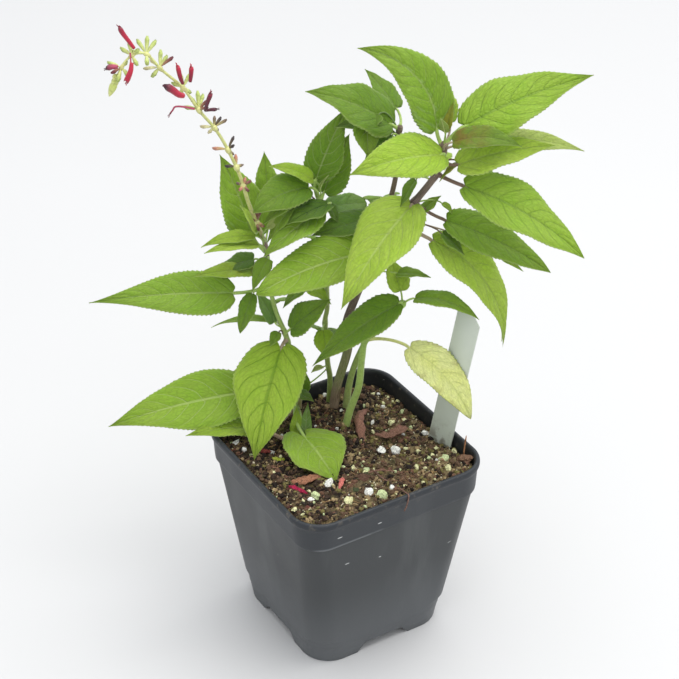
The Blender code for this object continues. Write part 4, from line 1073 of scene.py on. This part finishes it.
def stem_point(name, height=None, share=None):
    """Point, direction and radius of a stem, at a height or at a share of its route."""
    foot_radius, top_radius, route = STEMS[name]
    points = smooth_route(route, JOINT_STEPS)
    if share is None:
        above = np.nonzero(points[:, 2] >= height)[0]
        index = int(above[0]) if len(above) else len(points) - 1
    else:
        index = int(share * (len(points) - 1))
    index = min(index, len(points) - 2)
    radius = foot_radius + (top_radius - foot_radius) * index / (len(points) - 1)
    return points[index], unit(points[index + 1] - points[index]), radius


FORK_HEIGHT = 167.0             # where the back stem leaves the middle of the main one
JOINT_SWELL, JOINT_REACH = 0.22, 1.8

# Colours of the stems by height.
STEM_TONES = {
    "stem_main": ((84, srgb(128, 104, 88)), (101, srgb(122, 104, 78)), (112, srgb(126, 138, 76)),
                  (130, srgb(112, 118, 66)), (146, srgb(84, 68, 58)), (180, srgb(84, 66, 58)),
                  (215, srgb(104, 84, 80)), (246, srgb(120, 100, 84))),
    "stem_back": ((160, srgb(112, 96, 70)), (243, srgb(104, 88, 70))),
    "stem_centre": ((84, srgb(150, 172, 96)), (164, srgb(150, 184, 88))),
    "stem_side": ((84, srgb(164, 178, 112)), (146, srgb(138, 172, 82))),
    "stem_left": ((84, srgb(140, 160, 84)), (209, srgb(150, 168, 100))),
    "stem_spike": ((84, srgb(150, 128, 98)), (112, srgb(150, 170, 92)), (165, srgb(150, 176, 92)),
                   (178, srgb(120, 104, 92)), (190, srgb(140, 116, 108)), (197, srgb(186, 188, 118)),
                   (290, srgb(206, 212, 140))),
}


def make_stem(name):
    """A slightly squared stem, swollen at each joint where a leaf leaves it."""
    foot_radius, top_radius, route = STEMS[name]
    if name == "stem_back":
        route = (tuple(stem_point("stem_main", FORK_HEIGHT)[0]), *route)
    points = smooth_route(route, STEM_STEPS)
    radii = np.linspace(foot_radius, top_radius, len(points))
    if name == "stem_spike":
        radii = radii * np.interp(points[:, 2], (98, 116, 150, 205, 240), (1.0, 0.80, 0.62, 0.62, 0.52))
    joints = {leaf[1] for leaf in LEAVES.values() if leaf[0] == name}
    for joint in joints:
        radii = radii * (1.0 + JOINT_SWELL * np.exp(-((points[:, 2] - joint) / JOINT_REACH) ** 2))
    stops = STEM_TONES[name]
    heights = [height for height, _ in stops]
    tones = np.stack([np.interp(points[:, 2], heights, [tone[part] for _, tone in stops])
                      for part in range(3)], 1)
    radii[-1] *= 0.5
    bm = new_mesh()
    sweep(bm, points, radii, STEM_SIDES, tones, square=0.07)
    skin = BARK if name in ("stem_main", "stem_back") else STALK
    finish_piece(name + "_skin", bm, [skin], [name])


# ---- leaves

class LeafShape:
    """Places any point of a leaf: along its stalk, then along and across its blade."""

    def __init__(self, taper, stem, height, base, heading, pitch, length, width, bow, roll):
        self.taper = taper
        self.base = np.array(base, float)
        self.length, self.width = length, width
        share = np.linspace(0.0, 1.0, MIDRIB_STEPS + 1)
        slope = np.radians(pitch + bow * (0.5 - share))
        turn, roll = math.radians(heading), math.radians(roll)
        level = np.cos(slope)
        self.tangents = np.stack([level * math.cos(turn), level * math.sin(turn), np.sin(slope)], 1)
        run = np.cumsum((self.tangents[1:] + self.tangents[:-1]) / 2, 0)
        self.midrib = np.vstack([[0, 0, 0], run]) * length / MIDRIB_STEPS + self.base
        level_side = np.array([-math.sin(turn), math.cos(turn), 0.0])
        ups = np.cross(self.tangents, level_side)
        self.sides = math.cos(roll) * level_side + math.sin(roll) * ups
        self.normals = -math.sin(roll) * level_side + math.cos(roll) * ups
        joint, along_stem, radius = stem_point(stem, height)
        outward = self.base - joint
        outward = unit(outward - along_stem * np.dot(outward, along_stem))
        self.joint = joint + outward * radius * 0.5
        self.bend = self.base - self.tangents[0] * np.linalg.norm(self.base - self.joint) * 0.5

    def at(self, values, stations):
        """Values known at the even stations, read at any others."""
        even = np.linspace(0.0, 1.0, len(values))
        return np.stack([np.interp(stations, even, values[:, part]) for part in range(3)], 1)

    def half_widths(self, stations):
        widest = 0.5 / (0.5 + self.taper)
        peak = math.sqrt(widest) * (1.0 - widest) ** self.taper
        shape = np.sqrt(stations) * (1.0 - stations) ** self.taper / peak
        return np.maximum(shape * self.width / 2, np.where(stations < 0.5, STALK_HALF_WIDTH * 0.6, 0.08))

    def stalk(self, count):
        share = np.linspace(0.0, 1.0, count)[:, None]
        return (1 - share) ** 2 * self.joint + 2 * share * (1 - share) * self.bend + share ** 2 * self.base


def grow_leaf(bm, facts, seed, taper=BLADE_TAPER):
    """A blade with toothed margins, sunken veins and raised quilting, and its stalk and underside rib."""
    shape = LeafShape(taper, *facts[:9])
    green, paleness, rust, stalk = facts[9:]
    tone, stalk_tone = np.array(GREENS[green]), STALKS[stalk]
    dice = np.random.default_rng(seed)
    length, width = shape.length, shape.width
    rows = int(np.clip(length * 2.6, 36, 150))
    cols = int(np.clip(width * 1.0, 12, 26)) // 2 * 2
    pairs = float(np.clip(round(length / (4.0 + 0.13 * width)), 4, 10))
    stations = np.linspace(0.0, 1.0, rows + 1) ** 1.3
    across = np.linspace(-1.0, 1.0, cols + 1)
    across = np.sign(across) * np.abs(across) ** 0.9
    half = shape.half_widths(stations)
    midrib, sides, normals, tangents = [
        shape.at(values, stations) for values in (shape.midrib, shape.sides, shape.normals, shape.tangents)]
    out = np.abs(across)[None, :]
    station = stations[:, None]
    grown = np.minimum(1.0, half / 3)[:, None]
    teeth = max(8, round(length * 0.5))
    phase = np.where(across > 0, 0.37, 0.0)[None, :] + station * teeth
    tooth = (phase % 1.0) ** 1.4 * np.where(station > 0.04, 1, 0) * (1.0 - station) ** 0.4
    bite = 1.0 + tooth * np.clip(0.75 / np.maximum(half, 0.5), 0, 0.10)[:, None] * (out > 0.99)
    lean = 1.0 + 0.05 * np.sin(station * 5 + dice.uniform(0, 6)) * np.sign(across)[None, :]
    fold = math.radians(BLADE_FOLD)
    sweep_on = width / 2 / length
    reach = (out * 0.80 + out ** 3 * 0.40) * sweep_on
    uneven = 0.09 * np.sin(station * 9 + dice.uniform(0, 6))
    uneven = uneven + 0.05 * np.sin(out * 4 + station * 17 + (across > 0) * 2)
    row_phase = (station - reach) * pairs + uneven * np.minimum(1.0, out * 4) + (across > 0) * 0.18
    from_vein = np.abs(row_phase - np.round(row_phase))
    size = min(1.0, width / 22)
    puff = (1.0 - np.exp(-(from_vein / 0.2) ** 2)) * np.sin(np.pi * np.clip(out * 0.96 + 0.02, 0, 1)) ** 0.5
    blister = np.sin(out * 15 + 2 * np.sin(row_phase * 3)) * np.sin(row_phase * 2 * np.pi)
    relief = (0.36 * puff + 0.10 * blister * puff - 0.42 * np.exp(-(out / 0.07) ** 2)) * size
    waves = dice.uniform(1.6, 2.8)
    wave = np.sin(station * 2 * np.pi * waves + dice.uniform(0, 6) + (across > 0) * 1.7)
    ruffle = 0.07 * half[:, None] * out ** 2 * wave
    flex = 0.10 * half[:, None] * np.sin(station * np.pi * 1.3 + dice.uniform(0, 6)) * across[None, :]
    edge_roll = -0.06 * half[:, None] * np.clip((out - 0.75) / 0.25, 0, 1) ** 2
    rise = half[:, None] * (out * math.sin(fold) - BLADE_DROOP * out ** 2)
    rise = rise + (relief + ruffle + flex + edge_roll) * grown
    lobe = HEART_LOBE if width > HEART_RATIO * length else BASE_LOBE
    back = lobe * width * out * np.exp(-(station / LOBE_FADE) ** 2) * grown
    spread = across[None, :] * half[:, None] * math.cos(fold) * bite * lean
    points = (midrib[:, None, :] + sides[:, None, :] * spread[..., None]
              + normals[:, None, :] * rise[..., None] - tangents[:, None, :] * back[..., None])
    warm = np.clip(station * 1.1 - 0.25, 0, 1) * 0.22
    start = len(bm.faces)
    made = bmesh.ops.create_grid(bm, x_segments=cols, y_segments=rows, size=1.0)["verts"]
    burn = 0.3 if green == "yellow" else 0.0
    for vert in made:
        row = round((vert.co.y + 1) / 2 * rows)
        col = round((1 - vert.co.x) / 2 * cols)
        vert.co = Vector(points[row, col]) * MM
        share = float(warm[row, 0])
        shade = tone * (1 - share) + np.array((0.42, 0.52, 0.08)) * share
        paint(bm, vert, shade, (across[col], stations[row], row_phase[row, col]), (paleness, rust, burn))
    bm.faces.ensure_lookup_table()
    blade = bm.faces[start:]
    bmesh.ops.solidify(bm, geom=blade, thickness=BLADE_THICKNESS * MM)
    bm.faces.ensure_lookup_table()
    for face in bm.faces[start + len(blade):]:
        face.material_index = 1
    stalk_points = shape.stalk(9)
    keep = np.linspace(0.01, 0.96, 20)
    stalk_radius = np.clip(width / 26, 0.35, 0.85)
    rib_radii = stalk_radius * np.linspace(0.9, 0.2, len(keep))
    rib_depth = rib_radii + 0.12 + 0.42 * size * np.minimum(1.0, keep / 0.06)
    rib_points = shape.at(shape.midrib, keep) - shape.at(shape.normals, keep) * rib_depth[:, None]
    points = np.vstack([stalk_points[:-1], rib_points])
    radii = np.concatenate([stalk_radius * (1.0 + 0.7 * np.exp(-np.arange(8) / 0.9)), rib_radii])
    rib_tone = tone * 0.6 + np.array((0.72, 0.84, 0.36)) * 0.4
    tones = np.vstack([blend_tones(stalk_tone, stalk_tone, 7),
                       blend_tones(stalk_tone, rib_tone, len(keep) + 1, 0.35)])
    sweep(bm, points, radii, THIN_SIDES, tones, material=2)


def make_leaves():
    """Each large leaf is a piece; the small ones are pieces in groups."""
    for seed, (name, facts) in enumerate(LEAVES.items()):
        bm = new_mesh()
        grow_leaf(bm, facts, seed, TIP_SHAPES.get(name, BLADE_TAPER))
        finish_piece(name + "_blade", bm, [TOP, UNDER, STALK], [name])
    for group, leaves in SMALL_LEAVES.items():
        bm = new_mesh()
        for seed, facts in enumerate(leaves):
            grow_leaf(bm, facts, 100 + seed)
        finish_piece(group, bm, [TOP, UNDER, STALK])


# ---- flower spike

def add_cup(bm, root, tip, radius, foot_tone, tip_tone):
    """A flower cup: a ribbed bell on a short stalk, with a toothed open mouth."""
    reach = np.linalg.norm(tip - root)
    direction = (tip - root) / reach
    sag = np.cross(direction, np.cross(UPWARD, direction))
    share = np.linspace(0.0, 1.0, CUP_ROWS)
    points = root + np.outer(share * reach, direction) + np.outer(np.sin(share * math.pi) * 0.25, sag)
    radii = radius * np.array((0.26, 0.24, 0.34, 0.56, 0.70, 0.78, 0.84, 0.90, 0.92))
    grid = sweep(bm, points, radii, CUP_SIDES, blend_tones(foot_tone, tip_tone, CUP_ROWS, 1.6), mouth=0.4)
    last = CUP_ROWS - 1
    for vert, row, side in grid:
        if row == last and side % 2 == 0:
            vert.co += Vector(direction * radius * 1.7 - (np.array(vert.co) / MM - points[last]) * 0.45) * MM
        elif 3 <= row < last and side % 2:
            centre = Vector(points[row]) * MM
            vert.co = centre + (vert.co - centre) * 0.86


def make_rings():
    """A ring of cups round the spike, on a slight swelling."""
    for name, (share, cups) in RINGS.items():
        place, direction, radius = stem_point("stem_spike", share=share)
        bm = new_mesh()
        for kind, across, up, forward in cups:
            tip = place + ACROSS * across + UPWARD * up + FORWARD * forward
            cup_radius, foot_tone, tip_tone = CUP_KINDS[kind]
            add_cup(bm, place, tip, cup_radius, foot_tone, tip_tone)
        swell = [place + direction * step for step in (-2.0, -0.8, 0.4, 1.4)]
        tone = srgb(204, 204, 138)
        sweep(bm, swell, [radius * 0.6, radius, radius, radius * 0.6], CUP_SIDES, [tone] * 4)
        finish_piece(name + "_cups", bm, [CUP], [name] if name.startswith("whorl") else ())


def make_tip_buds():
    """Buds round the end of the spike, and the green tip beyond them."""
    bm = new_mesh()
    green, pale = srgb(186, 200, 104), srgb(216, 220, 150)
    for share, reach, radius in BUDS:
        place, direction, _ = stem_point("stem_spike", share=share)
        side = unit(np.cross(direction, UPWARD))
        other = np.cross(side, direction)
        for turn in np.radians((20, 110, 200, 290)):
            out = side * math.cos(turn) + other * math.sin(turn)
            tip = place + out * reach * 0.8 + direction * reach
            points = [place, place + (tip - place) * 0.4, place + (tip - place) * 0.75, tip]
            radii = [radius * 0.6, radius, radius * 0.8, radius * 0.15]
            sweep(bm, points, radii, THIN_SIDES, blend_tones(green, pale, len(points)))
    end, direction, _ = stem_point("stem_spike", share=0.999)
    points = [end + direction * step for step in (-0.5, 1.2, 3.0, 5.0, 6.4)]
    sweep(bm, points, [1.2, 1.7, 1.5, 0.9, 0.15], CUP_SIDES, blend_tones(green, pale, len(points)))
    finish_piece("tip_cluster", bm, [CUP], ["tip_buds"])


def add_flower(bm, foot_radius, mouth_radius, route, foot_tone, mouth_tone):
    """A narrow tube that widens to a two-lipped mouth, with two threads out of it."""
    points = smooth_route(route, FLOWER_STEPS)
    count = len(points)
    share = np.linspace(0.0, 1.0, count)
    radii = foot_radius + (mouth_radius - foot_radius) * share ** 0.8
    radii = radii * (1.0 - 0.25 * np.exp(-((share - 1.0) / 0.08) ** 2))
    tones = blend_tones(foot_tone, mouth_tone, count, 2.5)
    sweep(bm, points, radii, FLOWER_SIDES, tones, mouth=1.2, lip=mouth_radius * 0.55)
    direction = unit(points[-1] - points[-2])
    for turn in (0.5, 2.4):
        side = unit(np.cross(direction, (math.cos(turn), math.sin(turn), 0.3)))
        thread = [points[-1] - direction * 1.0 + side * 0.3, points[-1] + direction * 0.6 + side * 0.4,
                  points[-1] + direction * 1.5 + side * 0.7]
        sweep(bm, thread, [0.14, 0.14, 0.2], THIN_SIDES, [mouth_tone] * len(thread))


def make_flowers():
    for name, facts in FLOWERS.items():
        bm = new_mesh()
        add_flower(bm, *facts)
        finish_piece(name + "_tube", bm, [PETAL], [name])
    bm = new_mesh()
    for facts in LOOSE_FLOWERS:
        add_flower(bm, *facts)
    finish_piece("flowers_small", bm, [PETAL])


# ---- floor, light and camera

def make_surroundings():
    """The floor, an even sky and two soft lights aimed at the middle of the plant."""
    bm = bmesh.new()
    bmesh.ops.create_grid(bm, x_segments=1, y_segments=1, size=6.0)
    data = bpy.data.meshes.new("floor")
    bm.to_mesh(data)
    bm.free()
    floor = bpy.data.objects.new("floor", data)
    data.materials.append(floor_finish())
    bpy.context.scene.collection.objects.link(floor)
    world = bpy.data.worlds.new("studio")
    bpy.context.scene.world = world
    world.use_nodes = True
    sky = world.node_tree.nodes["Background"]
    sky.inputs["Color"].default_value = (*SKY_COLOUR, 1.0)
    sky.inputs["Strength"].default_value = SKY_STRENGTH
    for name, (place, size, power, colour) in SOFTBOXES.items():
        light = bpy.data.lights.new(name, "AREA")
        light.shape = "SQUARE"
        light.size = size
        light.energy = power
        light.color = colour
        lamp = bpy.data.objects.new(name, light)
        lamp.location = place
        lamp.rotation_euler = (Vector((0, 0, 0.15)) - Vector(place)).to_track_quat("-Z", "Y").to_euler()
        bpy.context.scene.collection.objects.link(lamp)


def make_camera():
    turn, rise, roll = [math.radians(angle) for angle in (CAMERA_TURN, CAMERA_RISE, CAMERA_ROLL)]
    back = Vector((math.sin(turn) * math.cos(rise), -math.cos(turn) * math.cos(rise), math.sin(rise)))
    right = Vector((math.cos(turn), math.sin(turn), 0.0))
    up = back.cross(right)
    right, up = math.cos(roll) * right + math.sin(roll) * up, math.cos(roll) * up - math.sin(roll) * right
    data = bpy.data.cameras.new("camera")
    data.sensor_width = 36.0
    data.lens = CAMERA_LENS
    data.clip_start = 0.05
    camera = bpy.data.objects.new("camera", data)
    axes = Matrix((right, up, back)).transposed().to_4x4()
    target = Vector(CAMERA_TARGET) * MM
    camera.matrix_world = Matrix.Translation(target + back * CAMERA_DISTANCE) @ axes
    bpy.context.scene.collection.objects.link(camera)
    bpy.context.scene.camera = camera
    bpy.context.scene.view_settings.view_transform = "Standard"
    bpy.context.scene.view_settings.look = "None"


make_camera()
make_pot()
make_soil()
make_crumbs()
make_litter()
make_label()
for stem_name in STEMS:
    make_stem(stem_name)
make_leaves()
make_rings()
make_tip_buds()
make_flowers()
make_surroundings()
